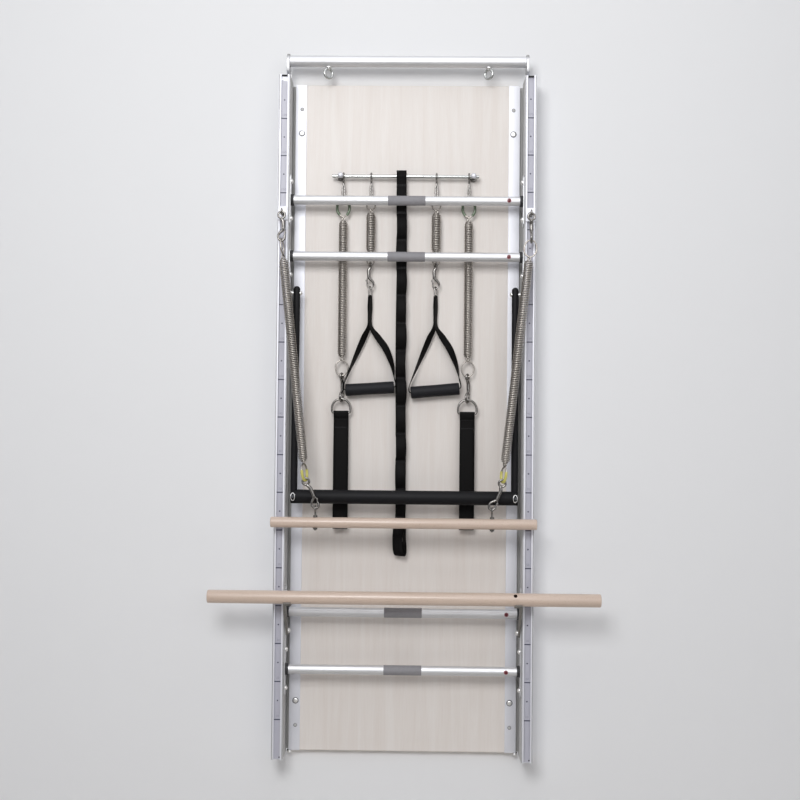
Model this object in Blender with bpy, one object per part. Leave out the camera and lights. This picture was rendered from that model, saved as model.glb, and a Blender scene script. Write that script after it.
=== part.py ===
# Pilates wall board: a birch panel between two slotted rails, with bars, springs, straps and wooden bars.
# The wall is the plane Y = 0 and the board stands out of it towards -Y. X runs across, +Z is up.
# The origin is the middle of the panel's back. Every size is in metres.

from math import atan2, cos, hypot, pi, radians, sin, sqrt

import bmesh
import bpy
import numpy as np
from mathutils import Matrix, Vector

for old in list(bpy.data.objects):
    bpy.data.objects.remove(old, do_unlink=True)

# Clearances
TOUCH_GAP = 0.0003
PIVOT_CLEARANCE = 0.0004
SLIDE_CLEARANCE = 0.0004

# Panel
PANEL_WIDTH = 0.607
PANEL_HEIGHT = 1.806
PANEL_THICKNESS = 0.018
PANEL_EDGE_ROUND = 0.0012

# Edge profiles that clamp the panel and carry the rails
EDGE_WALL = 0.0022
EDGE_BASE_THICKNESS = 0.003
EDGE_WING_WIDTH = 0.030
WALL_BOLT_Z = 0.770
WALL_BOLT_RADIUS = 0.0072
PANEL_SCREW_Z = 0.836
PANEL_SCREW_RADIUS = 0.0046
SCREW_HEAD_HEIGHT = 0.0026
SCREW_INSET = 0.0175

# Rails
RAIL_LENGTH = 1.822
RAIL_WIDTH = 0.030
RAIL_DEPTH = 0.0905
RAIL_TO_PANEL = 0.011
RAIL_INNER_X = PANEL_WIDTH / 2 + RAIL_TO_PANEL
GROOVE_MOUTH = 0.0165
GROOVE_WIDTH = 0.0222
GROOVE_LIP = 0.0025
GROOVE_DEPTH = 0.008
SIDE_SLOT_MOUTH = 0.008
SIDE_SLOT_WIDTH = 0.014
SIDE_SLOT_LIP = 0.0025
SIDE_SLOT_DEPTH = 0.0075
CORE_WALL = 0.0042
CORE_DEPTH = 0.046

# Uprights and top bar
UPRIGHT_THICKNESS = 0.008
UPRIGHT_WIDTH = 0.040
UPRIGHT_TONGUE = 0.120
TOP_BAR_RADIUS = 0.015
TOP_BAR_WALL = 0.0025
TOP_BAR_RISE = 0.0458
TOP_BAR_Z = RAIL_LENGTH / 2 + TOP_BAR_RISE
TOP_BAR_STAND_OFF = 0.058
UPRIGHT_HEAD_RADIUS = 0.0195
EYE_SPACING = 0.438
EYE_RADIUS = 0.0125
EYE_WIRE_RADIUS = 0.0026
EYE_DROP = 0.025

# Cross bars and the plates that hold them in the rails' side slots
TOP_DROPS = (0.3335, 0.4845)
FOOT_RISES = (0.387, 0.235)
CROSS_BAR_HEIGHTS = tuple(RAIL_LENGTH / 2 - drop for drop in TOP_DROPS)
CROSS_BAR_HEIGHTS += tuple(rise - RAIL_LENGTH / 2 for rise in FOOT_RISES)
CROSS_BAR_RADIUS = 0.0125
CROSS_BAR_WALL = 0.0020
CROSS_BAR_STAND_OFF = 0.070
GRIP_SLEEVE_LENGTH = 0.100
GRIP_SLEEVE_RADIUS = 0.0130
COLLAR_RADIUS = 0.0155
COLLAR_THICKNESS = 0.008
BUTTON_TO_RAIL = 0.0405
BUTTON_X = RAIL_INNER_X - BUTTON_TO_RAIL
BUTTON_RADIUS = 0.0040
BUTTON_HEIGHT = 0.0024
BUTTON_FLANGE = 0.0012
PLATE_THICKNESS = 0.003
PLATE_WIDTH = 0.028
PLATE_END = 0.0185
HOLE_PITCH = 0.050
DOME_RADIUS = 0.0060
DOME_HEIGHT = 0.0052

# Push-through bar
PUSH_ARM_TO_RAIL = 0.022
PUSH_ARM_X = RAIL_INNER_X - PUSH_ARM_TO_RAIL
PUSH_ARM_RADIUS = 0.0092
PUSH_ARM_OVER_PIVOT = 0.0193
PUSH_REACH = 0.543
PUSH_TUBE_RADIUS = 0.0185
PUSH_TUBE_PAST_ARM = 0.008
PUSH_TUBE_HALF = PUSH_ARM_X + PUSH_TUBE_PAST_ARM
PUSH_TUBE_STAND_OFF = 0.090
PUSH_STUD_RADIUS = 0.0040

# Hanger rod
ROD_RADIUS = 0.005
ROD_Z = 0.649
ROD_STAND_OFF = 0.040
ROD_LEFT = -0.203
ROD_RIGHT = 0.195
STANDOFF_X = 0.180
STANDOFF_RADIUS = 0.0042
STANDOFF_FOOT_RADIUS = 0.010
STANDOFF_FOOT_HEIGHT = 0.003
STANDOFF_HEAD_RADIUS = 0.0062

# Snap hooks
SNAP_WIRE_RADIUS = 0.0020
SNAP_BARREL_RADIUS = 0.0033
SNAP_EYE_RADIUS = 0.0056
SNAP_HOOK_RADIUS = 0.0078
CHAIN_GAP = 0.0003

# Springs
SPRING_WIRE_RADIUS = 0.0015
CURL_POINTS = 8

# Leg springs with their foot straps
LEG_LEFT_X = -0.172
LEG_RIGHT_X = 0.168
LEG_SPRING_RADIUS = 0.0120
LEG_CURLS = 10
LEG_LOOP_RADII = (0.0185, 0.0165)
LEG_LOOP_LENGTH = 0.050
HANGING_SNAP_BOTTOM_Z = 0.586
LEG_SPRING_BOTTOM_Z = 0.1085
LEG_SNAP_BOTTOM_Z = 0.0395
RING_WIRE_RADIUS = 0.0025
RING_HALF_WIDTH = 0.025
RING_HEIGHT = 0.038
RING_CORNER = 0.004
FOOT_STRAP_WIDTH = 0.038
FOOT_STRAP_THICKNESS = 0.0028
FOOT_STRAP_LENGTH = 0.312
FOOT_STRAP_SPREAD = 0.0058

# Arm springs with their handles
ARM_LEFT_X = -0.097
ARM_RIGHT_X = 0.080
ARM_SPRING_RADIUS = 0.0130
ARM_CURLS = 5
ARM_LOOP_RADII = (0.0095, 0.0095)
ARM_LOOP_LENGTH = 0.031
ARM_SPRING_BOTTOM_Z = 0.418
ARM_SNAP_BOTTOM_Z = 0.3445
HANDLE_DROP_LEFT = 0.2715
HANDLE_DROP_RIGHT = 0.2755
HANDLE_SHIFT_LEFT = 0.0015
HANDLE_SHIFT_RIGHT = 0.0008
HANDLE_TILT_LEFT = radians(3.9)
HANDLE_TILT_RIGHT = radians(5.2)
HANDLE_BOWS_LEFT = (0.0, 0.013)
HANDLE_BOWS_RIGHT = (0.0, 0.010)
HANDLE_RING_WIRE = 0.0016
HANDLE_RING_WIDTH = 0.015
HANDLE_RING_HEIGHT = 0.021
HANDLE_RING_CORNER = 0.002
HANDLE_RING_LIFT = 0.0008
HANDLE_RING_TURN = 66
GRIP_LENGTH = 0.130
GRIP_RADIUS = 0.0155
GRIP_BORE_RADIUS = 0.0112
WEBBING_WIDTH = 0.020
WEBBING_THICKNESS = 0.0022
WEBBING_SPLIT_DROP = 0.100

# Centre loop strap
LOOP_STRAP_X = -0.0122
LOOP_STRAP_DRIFT = 0.0052
LOOP_STRAP_WIDTH = 0.027
LOOP_STRAP_THICKNESS = 0.0022
LOOP_STRAP_BOTTOM_Z = -0.3765
LOOP_COUNT = 12
LOOP_BULGE = 0.0062
END_LOOP_RADIUS = 0.0130
END_LOOP_LENGTH = 0.105
END_LOOP_TURN = radians(35)

# Roll-down bar on its two side springs
CHAIN_STAND_OFF = 0.1255
CARRIAGE_Z = 0.537
CARRIAGE_LENGTH = 0.036
CARRIAGE_PLATE_WIDTH = 0.026
CARRIAGE_PLATE_THICKNESS = 0.0035
CARRIAGE_EYE_RADIUS = 0.0070
CARRIAGE_EYE_WIRE = 0.0020
CARRIAGE_SHANK_RADIUS = 0.0032
CARRIAGE_LINK_GAP = 0.0007
SIDE_SNAP_BOTTOM_Z = 0.460
SIDE_SPRING_RADIUS = 0.0125
SIDE_CURLS = 13
SIDE_LOOP_RADII = (0.0160, 0.0160)
SIDE_LOOP_LENGTH = 0.050
SIDE_SPRING_FOOT = (RAIL_INNER_X - 0.0555, -0.1715)
LOW_SNAP_FOOT = (RAIL_INNER_X - 0.083, -0.2440)
BAR_EYE_RADIUS = 0.0070
BAR_EYE_WIRE = 0.0020
BAR_EYE_NECK = 0.0145
BAR_BOLT_RADIUS = 0.0025
BAR_NUT_RADIUS = 0.0055
BAR_NUT_HEIGHT = 0.0045
ROLL_BAR_LENGTH = 2 * RAIL_INNER_X + 0.069
ROLL_BAR_RADIUS = 0.0140

# Long bar and its two cradles
LONG_BAR_LENGTH = 1.025
LONG_BAR_X = 0.0024
LONG_BAR_RADIUS = 0.0172
LONG_BAR_RISE = 0.0475
LONG_BAR_Z = CROSS_BAR_HEIGHTS[2] + LONG_BAR_RISE
LONG_BAR_STAND_OFF = 0.139
LONG_BAR_HOLE_X = 0.2925
LONG_BAR_HOLE_RADIUS = 0.0050
CRADLE_THICKNESS = 0.0045
CRADLE_WIDTH = 0.020
CRADLE_ARM_THICKNESS = 0.006
CRADLE_ARM_HALF = 0.011
CRADLE_OPENING = radians(96)

# Places that follow from the sizes above
RAIL_BACK = EDGE_BASE_THICKNESS + TOUCH_GAP
RAIL_FRONT = RAIL_BACK + RAIL_DEPTH
GROOVE_FLOOR = RAIL_FRONT - GROOVE_DEPTH
RAIL_MID_X = RAIL_INNER_X + RAIL_WIDTH / 2
PLATE_FACE_X = RAIL_INNER_X - TOUCH_GAP - PLATE_THICKNESS
COLLAR_END_X = PLATE_FACE_X - TOUCH_GAP
UPRIGHT_FACE_X = RAIL_INNER_X + CORE_WALL + TOUCH_GAP
PUSH_PIVOT_Z = CROSS_BAR_HEIGHTS[1] - 2 * HOLE_PITCH
PUSH_LEAN = atan2(PUSH_TUBE_STAND_OFF - CROSS_BAR_STAND_OFF, PUSH_REACH)
RING_TOP_Z = LEG_SNAP_BOTTOM_Z + SNAP_WIRE_RADIUS + RING_WIRE_RADIUS + CHAIN_GAP
ROLL_BAR_Z = LOW_SNAP_FOOT[1] + SNAP_WIRE_RADIUS + BAR_EYE_WIRE + CHAIN_GAP - 2 * BAR_EYE_RADIUS
ROLL_BAR_Z = ROLL_BAR_Z - BAR_EYE_NECK - ROLL_BAR_RADIUS


# Materials

def material(name, red, green, blue, metallic, roughness):
    made = bpy.data.materials.new(name)
    made.use_nodes = True
    shader = made.node_tree.nodes["Principled BSDF"]
    shader.inputs["Base Color"].default_value = (red, green, blue, 1.0)
    shader.inputs["Metallic"].default_value = metallic
    shader.inputs["Roughness"].default_value = roughness
    return made


birch = material("birch_ply", 0.74, 0.69, 0.63, 0.0, 0.55)
silver = material("anodised_aluminium", 0.62, 0.63, 0.66, 0.9, 0.38)
bright = material("polished_aluminium", 0.75, 0.76, 0.78, 1.0, 0.25)
steel = material("nickel_plated_steel", 0.58, 0.56, 0.53, 1.0, 0.28)
spring_steel = material("spring_steel", 0.42, 0.39, 0.35, 1.0, 0.32)
beech = material("beech", 0.72, 0.55, 0.41, 0.0, 0.45)
black_coat = material("black_rubber_sleeve", 0.014, 0.014, 0.015, 0.0, 0.55)
webbing = material("black_webbing", 0.012, 0.012, 0.013, 0.0, 0.8)
foam = material("black_foam", 0.016, 0.016, 0.017, 0.0, 0.7)
red_plastic = material("red_plastic", 0.45, 0.02, 0.03, 0.0, 0.4)


# Shape helpers

def finish(shape, name, look):
    """Turns a bmesh into a named object with its faces pointing out."""
    bmesh.ops.recalc_face_normals(shape, faces=shape.faces)
    mesh = bpy.data.meshes.new(name)
    shape.to_mesh(mesh)
    shape.free()
    mesh.materials.append(look)
    made = bpy.data.objects.new(name, mesh)
    bpy.context.collection.objects.link(made)
    return made


def prism(name, outline, low, high, along, look):
    """Extrudes a flat outline along X, Y or Z. The outline's pairs are the other two coordinates in order."""
    shape = bmesh.new()
    corners = []
    for first, second in outline:
        corner = {"X": (low, first, second), "Y": (first, low, second), "Z": (first, second, low)}[along]
        corners.append(shape.verts.new(corner))
    face = shape.faces.new(corners)
    grown = bmesh.ops.extrude_face_region(shape, geom=[face])
    moved = [item for item in grown["geom"] if isinstance(item, bmesh.types.BMVert)]
    step = {"X": (high - low, 0, 0), "Y": (0, high - low, 0), "Z": (0, 0, high - low)}[along]
    bmesh.ops.translate(shape, verts=moved, vec=step)
    return finish(shape, name, look)


def turned(name, profile, sides, look, axis="Z"):
    """Spins a profile of (radius, height) pairs about an axis through the origin."""
    shape = bmesh.new()
    corners = [shape.verts.new((radius, 0, height)) for radius, height in profile]
    edges = [shape.edges.new(pair) for pair in zip(corners, corners[1:])]
    if profile[0][0] > 0 and profile[-1][0] > 0:
        edges.append(shape.edges.new((corners[-1], corners[0])))
    bmesh.ops.spin(shape, geom=corners + edges, cent=(0, 0, 0), axis=(0, 0, 1), angle=2 * pi, steps=sides)
    bmesh.ops.remove_doubles(shape, verts=shape.verts, dist=0.00001)
    turn = {"Z": Matrix.Identity(4), "X": Matrix.Rotation(pi / 2, 4, "Y"), "Y": Matrix.Rotation(-pi / 2, 4, "X")}
    bmesh.ops.transform(shape, matrix=turn[axis], verts=shape.verts)
    made = finish(shape, name, look)
    made.data.shade_smooth()
    made.data.set_sharp_from_angle(angle=radians(35))
    return made


def dome(radius, height, base, rings=3):
    """A dome's profile from its rim at base up to its top on the axis."""
    steps = [i * pi / 2 / rings for i in range(rings + 1)]
    return [(radius * cos(a) if i < rings else 0.0, base + height * sin(a)) for i, a in enumerate(steps)]


def wire(name, points, radius, look, cyclic=False, resolution=1, widths=None):
    """A round tube along points, with flat ends unless it closes on itself."""
    curve = bpy.data.curves.new(name, "CURVE")
    curve.dimensions = "3D"
    curve.bevel_depth = radius
    curve.bevel_resolution = resolution
    curve.use_fill_caps = not cyclic
    spline = curve.splines.new("POLY")
    spline.points.add(len(points) - 1)
    for index, point in enumerate(points):
        spline.points[index].co = (*point, 1.0)
        spline.points[index].radius = 1.0 if widths is None else widths[index]
    spline.use_cyclic_u = cyclic
    spline.use_smooth = True
    curve.materials.append(look)
    made = bpy.data.objects.new(name, curve)
    bpy.context.collection.objects.link(made)
    return made


def ribbon(name, sections, look, cyclic=False):
    """A flat strap through sections of (centre, direction across it, width, thickness)."""
    shape = bmesh.new()
    count = len(sections)
    rings = []
    for index, (centre, across, width, thickness) in enumerate(sections):
        before = sections[index - 1][0] if cyclic or index > 0 else centre
        after = sections[(index + 1) % count][0] if cyclic or index < count - 1 else centre
        ahead = (Vector(after) - Vector(before)).normalized()
        side = (Vector(across) - Vector(across).dot(ahead) * ahead).normalized()
        out = ahead.cross(side)
        ring = []
        for a, b in ((1, 1), (-1, 1), (-1, -1), (1, -1)):
            ring.append(shape.verts.new(Vector(centre) + side * (a * width / 2) + out * (b * thickness / 2)))
        rings.append(ring)
    pairs = list(zip(rings, rings[1:]))
    if cyclic:
        pairs.append((rings[-1], rings[0]))
    for ring, following in pairs:
        for corner in range(4):
            nearby = (corner + 1) % 4
            shape.faces.new((ring[corner], ring[nearby], following[nearby], following[corner]))
    if not cyclic:
        shape.faces.new(rings[0])
        shape.faces.new(rings[-1])
    made = finish(shape, name, look)
    made.data.shade_smooth()
    made.data.set_sharp_from_angle(angle=radians(40))
    return made


def solid_of(thing):
    """The thing's evaluated shape as a plain mesh, in world places."""
    bpy.context.view_layer.update()
    graph = bpy.context.evaluated_depsgraph_get()
    mesh = bpy.data.meshes.new_from_object(thing.evaluated_get(graph))
    mesh.transform(thing.matrix_world)
    return mesh


def combine(body, others, operation):
    """Joins other shapes to a body, or cuts them from it, and removes them."""
    for other in others:
        if other.type == "CURVE":
            plain = bpy.data.objects.new(other.name + "_solid", solid_of(other))
            bpy.context.collection.objects.link(plain)
            bpy.data.objects.remove(other, do_unlink=True)
            other = plain
        change = body.modifiers.new(operation.lower(), "BOOLEAN")
        change.operation = operation
        change.solver = "EXACT"
        change.object = other
        bpy.context.view_layer.update()
        graph = bpy.context.evaluated_depsgraph_get()
        mesh = bpy.data.meshes.new_from_object(body.evaluated_get(graph))
        body.modifiers.remove(change)
        body.data = mesh
        bpy.data.objects.remove(other, do_unlink=True)
    return body


def set_at(made, x, depth, z, pivot=None, tilt=0.0):
    """Places a piece at a distance in front of the wall, under a pivot if it moves with one."""
    place = Vector((x, -depth, z))
    made.rotation_euler = (0.0, tilt, 0.0)
    if pivot is not None:
        made.parent = pivot
        place = place - pivot.location
    made.location = place
    return made


def pivot_at(name, x, depth, z):
    """An empty on a joint's axis that carries the pieces which move about it."""
    made = bpy.data.objects.new(name, None)
    made.location = (x, -depth, z)
    bpy.context.collection.objects.link(made)
    return made


def sided(side, left, right):
    return left if side < 0 else right


SIDES = ((-1, "left"), (1, "right"))


# Back panel: one sheet of birch plywood

def back_panel():
    shape = bmesh.new()
    bmesh.ops.create_cube(shape, size=1.0)
    bmesh.ops.scale(shape, verts=shape.verts, vec=(PANEL_WIDTH, PANEL_THICKNESS, PANEL_HEIGHT))
    front = [edge for edge in shape.edges if all(v.co.y < 0 for v in edge.verts)]
    bmesh.ops.bevel(shape, geom=front, offset=PANEL_EDGE_ROUND, segments=2, affect="EDGES", profile=0.5)
    set_at(finish(shape, "back_panel", birch), 0, PANEL_THICKNESS / 2, 0)


# Edge profiles: a wing over the panel's edge, a web beside it and a base behind the rail

def edge_profile(side, label):
    web_in = PANEL_WIDTH / 2 + TOUCH_GAP
    wing_back = PANEL_THICKNESS + TOUCH_GAP
    wing_front = wing_back + EDGE_WALL
    wing_in = web_in + EDGE_WALL - EDGE_WING_WIDTH
    base_out = RAIL_INNER_X + RAIL_WIDTH
    outline = [
        (wing_in, -wing_front), (web_in + EDGE_WALL, -wing_front),
        (web_in + EDGE_WALL, -EDGE_BASE_THICKNESS), (base_out, -EDGE_BASE_THICKNESS),
        (base_out, 0.0), (web_in, 0.0), (web_in, -wing_back), (wing_in, -wing_back),
    ]
    outline = [(side * x, y) for x, y in outline]
    half = PANEL_HEIGHT / 2
    body = prism("edge_profile_" + label, outline, -half, half, "Z", silver)
    heads = []
    for z, radius in ((WALL_BOLT_Z, WALL_BOLT_RADIUS), (PANEL_SCREW_Z, PANEL_SCREW_RADIUS)):
        for up in (-1, 1):
            profile = [(0.0, -EDGE_WALL / 2), (radius, -EDGE_WALL / 2), (radius, SCREW_HEAD_HEIGHT * 0.4)]
            profile += [(radius * 0.72, SCREW_HEAD_HEIGHT), (0.0, SCREW_HEAD_HEIGHT)]
            head = turned("head", profile, 12, silver, "Y")
            head.rotation_euler = (0, 0, pi)
            head.location = (side * (web_in + EDGE_WALL - SCREW_INSET), -wing_front, up * z)
            heads.append(head)
    combine(body, heads, "UNION")


# Rails: extrusions with a groove in front, a T-slot on the inner side and a hollow core

def rail(side, label):
    inner, outer = RAIL_INNER_X, RAIL_INNER_X + RAIL_WIDTH
    mouth, undercut = GROOVE_MOUTH / 2, GROOVE_WIDTH / 2
    lip = RAIL_FRONT - GROOVE_LIP
    slot, slot_wide = SIDE_SLOT_MOUTH / 2, SIDE_SLOT_WIDTH / 2
    slot_lip, slot_end = inner + SIDE_SLOT_LIP, inner + SIDE_SLOT_DEPTH
    row = CROSS_BAR_STAND_OFF
    outline = [
        (inner, RAIL_BACK), (inner, row - slot), (slot_lip, row - slot), (slot_lip, row - slot_wide),
        (slot_end, row - slot_wide), (slot_end, row + slot_wide), (slot_lip, row + slot_wide),
        (slot_lip, row + slot), (inner, row + slot), (inner, RAIL_FRONT),
        (RAIL_MID_X - mouth, RAIL_FRONT), (RAIL_MID_X - mouth, lip), (RAIL_MID_X - undercut, lip),
        (RAIL_MID_X - undercut, GROOVE_FLOOR), (RAIL_MID_X + undercut, GROOVE_FLOOR),
        (RAIL_MID_X + undercut, lip), (RAIL_MID_X + mouth, lip), (RAIL_MID_X + mouth, RAIL_FRONT),
        (outer, RAIL_FRONT), (outer, RAIL_BACK),
    ]
    outline = [(side * x, -depth) for x, depth in outline]
    half = RAIL_LENGTH / 2
    body = prism("rail_" + label, outline, -half, half, "Z", silver)
    core_back = RAIL_BACK + CORE_WALL
    core = [
        (inner + CORE_WALL, core_back), (outer - CORE_WALL, core_back),
        (outer - CORE_WALL, core_back + CORE_DEPTH), (inner + CORE_WALL, core_back + CORE_DEPTH),
    ]
    core = [(side * x, -depth) for x, depth in core]
    hollow = prism("core", core, -RAIL_LENGTH, RAIL_LENGTH, "Z", silver)
    combine(body, [hollow], "DIFFERENCE")


# Uprights: flat bars whose tongues stand in the rails' hollow cores and whose heads hold the top bar

def top_upright(side, label):
    low = RAIL_LENGTH / 2 - UPRIGHT_TONGUE
    shoulder = RAIL_LENGTH / 2 + 0.004
    back = RAIL_BACK + CORE_WALL + TOUCH_GAP
    front = back + UPRIGHT_WIDTH
    outline = [(back, low), (back, shoulder)]
    for step in range(7):
        angle = radians(180 - 30 * step)
        outline.append((TOP_BAR_STAND_OFF + UPRIGHT_HEAD_RADIUS * cos(angle),
                        TOP_BAR_Z + UPRIGHT_HEAD_RADIUS * sin(angle)))
    outline += [(TOP_BAR_STAND_OFF + UPRIGHT_HEAD_RADIUS, shoulder + 0.012), (front, shoulder), (front, low)]
    outline = [(-depth, z) for depth, z in outline]
    near = side * UPRIGHT_FACE_X
    far = side * (UPRIGHT_FACE_X + UPRIGHT_THICKNESS)
    body = prism("top_upright_" + label, outline, near, far, "X", bright)
    profile = [(0.0, -0.002), (DOME_RADIUS, -0.002)] + dome(DOME_RADIUS, DOME_HEIGHT, 0.0)
    head = turned("head", profile, 12, steel, "X")
    head.rotation_euler = (0, 0, 0 if side > 0 else pi)
    head.location = (far, -TOP_BAR_STAND_OFF, TOP_BAR_Z)
    combine(body, [head], "UNION")


# Top bar: a tube between the uprights with two eye bolts under it

def top_bar():
    half = UPRIGHT_FACE_X - TOUCH_GAP
    inner = TOP_BAR_RADIUS - TOP_BAR_WALL
    profile = [(inner, -half), (TOP_BAR_RADIUS, -half), (TOP_BAR_RADIUS, half), (inner, half)]
    body = turned("top_bar", profile, 20, bright, "X")
    additions = []
    for side in (-1, 1):
        x = side * EYE_SPACING / 2
        shank = turned("shank", [(0, -EYE_DROP + EYE_RADIUS), (0.0035, -EYE_DROP + EYE_RADIUS),
                                 (0.0035, -inner + 0.0008), (0, -inner + 0.0008)], 10, steel)
        shank.location = (x, 0, 0)
        ring = [(x + EYE_RADIUS * cos(a), 0, -EYE_DROP + EYE_RADIUS * sin(a) - 0.0002)
                for a in (i * pi / 6 for i in range(12))]
        eye = wire("eye", ring, EYE_WIRE_RADIUS, steel, cyclic=True)
        additions += [shank, eye]
    combine(body, additions, "UNION")
    set_at(body, 0, TOP_BAR_STAND_OFF, TOP_BAR_Z)


# Hole plates: strips bolted in the side slots with dome-headed bolts

def hole_plate(name, side, top, bottom, bolts, stud_z=None):
    edge = PLATE_WIDTH / 2
    chamfer = 0.006
    outline = [
        (-edge, bottom + chamfer), (-edge, top - chamfer), (-edge + chamfer, top), (edge - chamfer, top),
        (edge, top - chamfer), (edge, bottom + chamfer), (edge - chamfer, bottom), (-edge + chamfer, bottom),
    ]
    outline = [(y - CROSS_BAR_STAND_OFF, z) for y, z in outline]
    face, back = PLATE_FACE_X, PLATE_FACE_X + PLATE_THICKNESS
    body = prism(name, outline, side * back, side * face, "X", bright)
    additions = []
    for z in bolts:
        profile = [(0.0, -0.001), (DOME_RADIUS, -0.001)] + dome(DOME_RADIUS, DOME_HEIGHT, 0.0)
        head = turned("head", profile, 10, steel, "X")
        head.rotation_euler = (0, 0, pi if side > 0 else 0)
        head.location = (side * face, -CROSS_BAR_STAND_OFF, z)
        additions.append(head)
    if stud_z is not None:
        spacer = face - PUSH_ARM_X - PUSH_ARM_RADIUS - TOUCH_GAP
        nut = face - PUSH_ARM_X + PUSH_ARM_RADIUS + TOUCH_GAP
        profile = [(0.0, -0.001), (DOME_RADIUS, -0.001), (DOME_RADIUS, spacer), (PUSH_STUD_RADIUS, spacer)]
        profile += [(PUSH_STUD_RADIUS, nut)] + dome(DOME_RADIUS, DOME_HEIGHT, nut)
        stud = turned("stud", profile, 12, steel, "X")
        stud.rotation_euler = (0, 0, pi if side > 0 else 0)
        stud.location = (side * face, -CROSS_BAR_STAND_OFF, stud_z)
        additions.append(stud)
    combine(body, additions, "UNION")


def hole_plates(side, label):
    first, second, third, fourth = CROSS_BAR_HEIGHTS
    reach = HOLE_PITCH + PLATE_END
    hole_plate("hole_plate_top_" + label, side, first + reach, first - reach,
               [first + HOLE_PITCH, first - HOLE_PITCH])
    hole_plate("hole_plate_pivot_" + label, side, second + PLATE_END, PUSH_PIVOT_Z - PLATE_END,
               [second - HOLE_PITCH], stud_z=PUSH_PIVOT_Z)
    hole_plate("hole_plate_low_" + label, side, third + reach, fourth - reach,
               [third + HOLE_PITCH, third - 2 * HOLE_PITCH, fourth - HOLE_PITCH])


# Cross bars: tubes with end collars, a grip sleeve in the middle and a red release button

def cross_bar(number, z):
    tube_end = COLLAR_END_X - COLLAR_THICKNESS
    sleeve = GRIP_SLEEVE_LENGTH / 2
    bore = CROSS_BAR_RADIUS - CROSS_BAR_WALL
    half = [
        (bore, COLLAR_END_X), (COLLAR_RADIUS, COLLAR_END_X), (COLLAR_RADIUS, tube_end),
        (CROSS_BAR_RADIUS, tube_end), (CROSS_BAR_RADIUS, sleeve), (GRIP_SLEEVE_RADIUS, sleeve),
    ]
    profile = half + [(radius, -x) for radius, x in reversed(half)]
    body = turned("cross_bar_" + str(number), profile, 14, bright, "X")
    hole_radius = BUTTON_RADIUS + SLIDE_CLEARANCE
    hole = turned("hole", [(0, 0), (hole_radius, 0), (hole_radius, 0.02), (0, 0.02)], 12, bright, "Y")
    hole.rotation_euler = (0, 0, pi)
    hole.location = (BUTTON_X, 0, 0)
    combine(body, [hole], "DIFFERENCE")
    set_at(body, 0, CROSS_BAR_STAND_OFF, z)
    flange = BUTTON_RADIUS + BUTTON_FLANGE
    seat = sqrt(bore ** 2 - flange ** 2) - 2 * TOUCH_GAP
    top = CROSS_BAR_RADIUS + BUTTON_HEIGHT * 0.4
    profile = [(0.0, seat - BUTTON_FLANGE), (flange, seat - BUTTON_FLANGE), (flange, seat), (BUTTON_RADIUS, seat)]
    profile += [(BUTTON_RADIUS, top)] + dome(BUTTON_RADIUS, BUTTON_HEIGHT * 0.6, top, 2)[1:]
    button = turned("release_button_" + str(number), profile, 10, red_plastic, "Y")
    set_at(button, BUTTON_X, CROSS_BAR_STAND_OFF, z)
    button.rotation_euler = (0, 0, pi)


# Hanger rod with its two standoffs on the panel

def hanger_rod():
    profile = [(0, ROD_LEFT), (ROD_RADIUS, ROD_LEFT), (ROD_RADIUS, ROD_RIGHT), (0, ROD_RIGHT)]
    body = turned("hanger_rod", profile, 12, steel, "X")
    posts = []
    for side in (-1, 1):
        foot = ROD_STAND_OFF - PANEL_THICKNESS - TOUCH_GAP
        front = ROD_RADIUS + 0.0035
        profile = [
            (0, -foot), (STANDOFF_FOOT_RADIUS, -foot), (STANDOFF_FOOT_RADIUS, STANDOFF_FOOT_HEIGHT - foot),
            (STANDOFF_RADIUS, STANDOFF_FOOT_HEIGHT - foot), (STANDOFF_RADIUS, front),
            (STANDOFF_HEAD_RADIUS, front),
        ]
        profile += dome(STANDOFF_HEAD_RADIUS, STANDOFF_HEAD_RADIUS, front)[1:]
        post = turned("post", profile, 12, steel, "Y")
        post.rotation_euler = (0, 0, pi)
        post.location = (side * STANDOFF_X, 0, 0)
        posts.append(post)
    combine(body, posts, "UNION")
    set_at(body, 0, ROD_STAND_OFF, ROD_Z)


# Snap hooks: an eye, a barrel and a hook, bent from one bar

def snap_hook(name, length, hook_up, eye_turn, hook_turn):
    """The piece hangs from its own origin down to -length. The turns are about its length."""
    route = []
    thick = SNAP_BARREL_RADIUS / SNAP_WIRE_RADIUS
    for step in range(8):
        angle = radians(-36 + 306 * step / 7)
        route.append((eye_turn, SNAP_EYE_RADIUS * cos(angle), -SNAP_EYE_RADIUS + SNAP_EYE_RADIUS * sin(angle), 1.0))
    hook_middle = -length + SNAP_HOOK_RADIUS
    route.append((hook_turn, 0.0, -2 * SNAP_EYE_RADIUS - 0.005, 1.0))
    route.append((hook_turn, 0.0, -2 * SNAP_EYE_RADIUS - 0.008, thick))
    route.append((hook_turn, 0.0, hook_middle + SNAP_HOOK_RADIUS + 0.008, thick))
    for step in range(8):
        angle = radians(118 + 290 * step / 7)
        route.append((hook_turn, SNAP_HOOK_RADIUS * cos(angle), hook_middle + SNAP_HOOK_RADIUS * sin(angle), 1.0))
    points = []
    for turn, across, height, _ in route:
        if hook_up:
            height = -length - height
        points.append((across * cos(turn), across * sin(turn), height))
    return wire(name, points, SNAP_WIRE_RADIUS, steel, widths=[item[3] for item in route])


# Springs: an end loop, a cone, the curls, a cone and an end loop, all one wire

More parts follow.
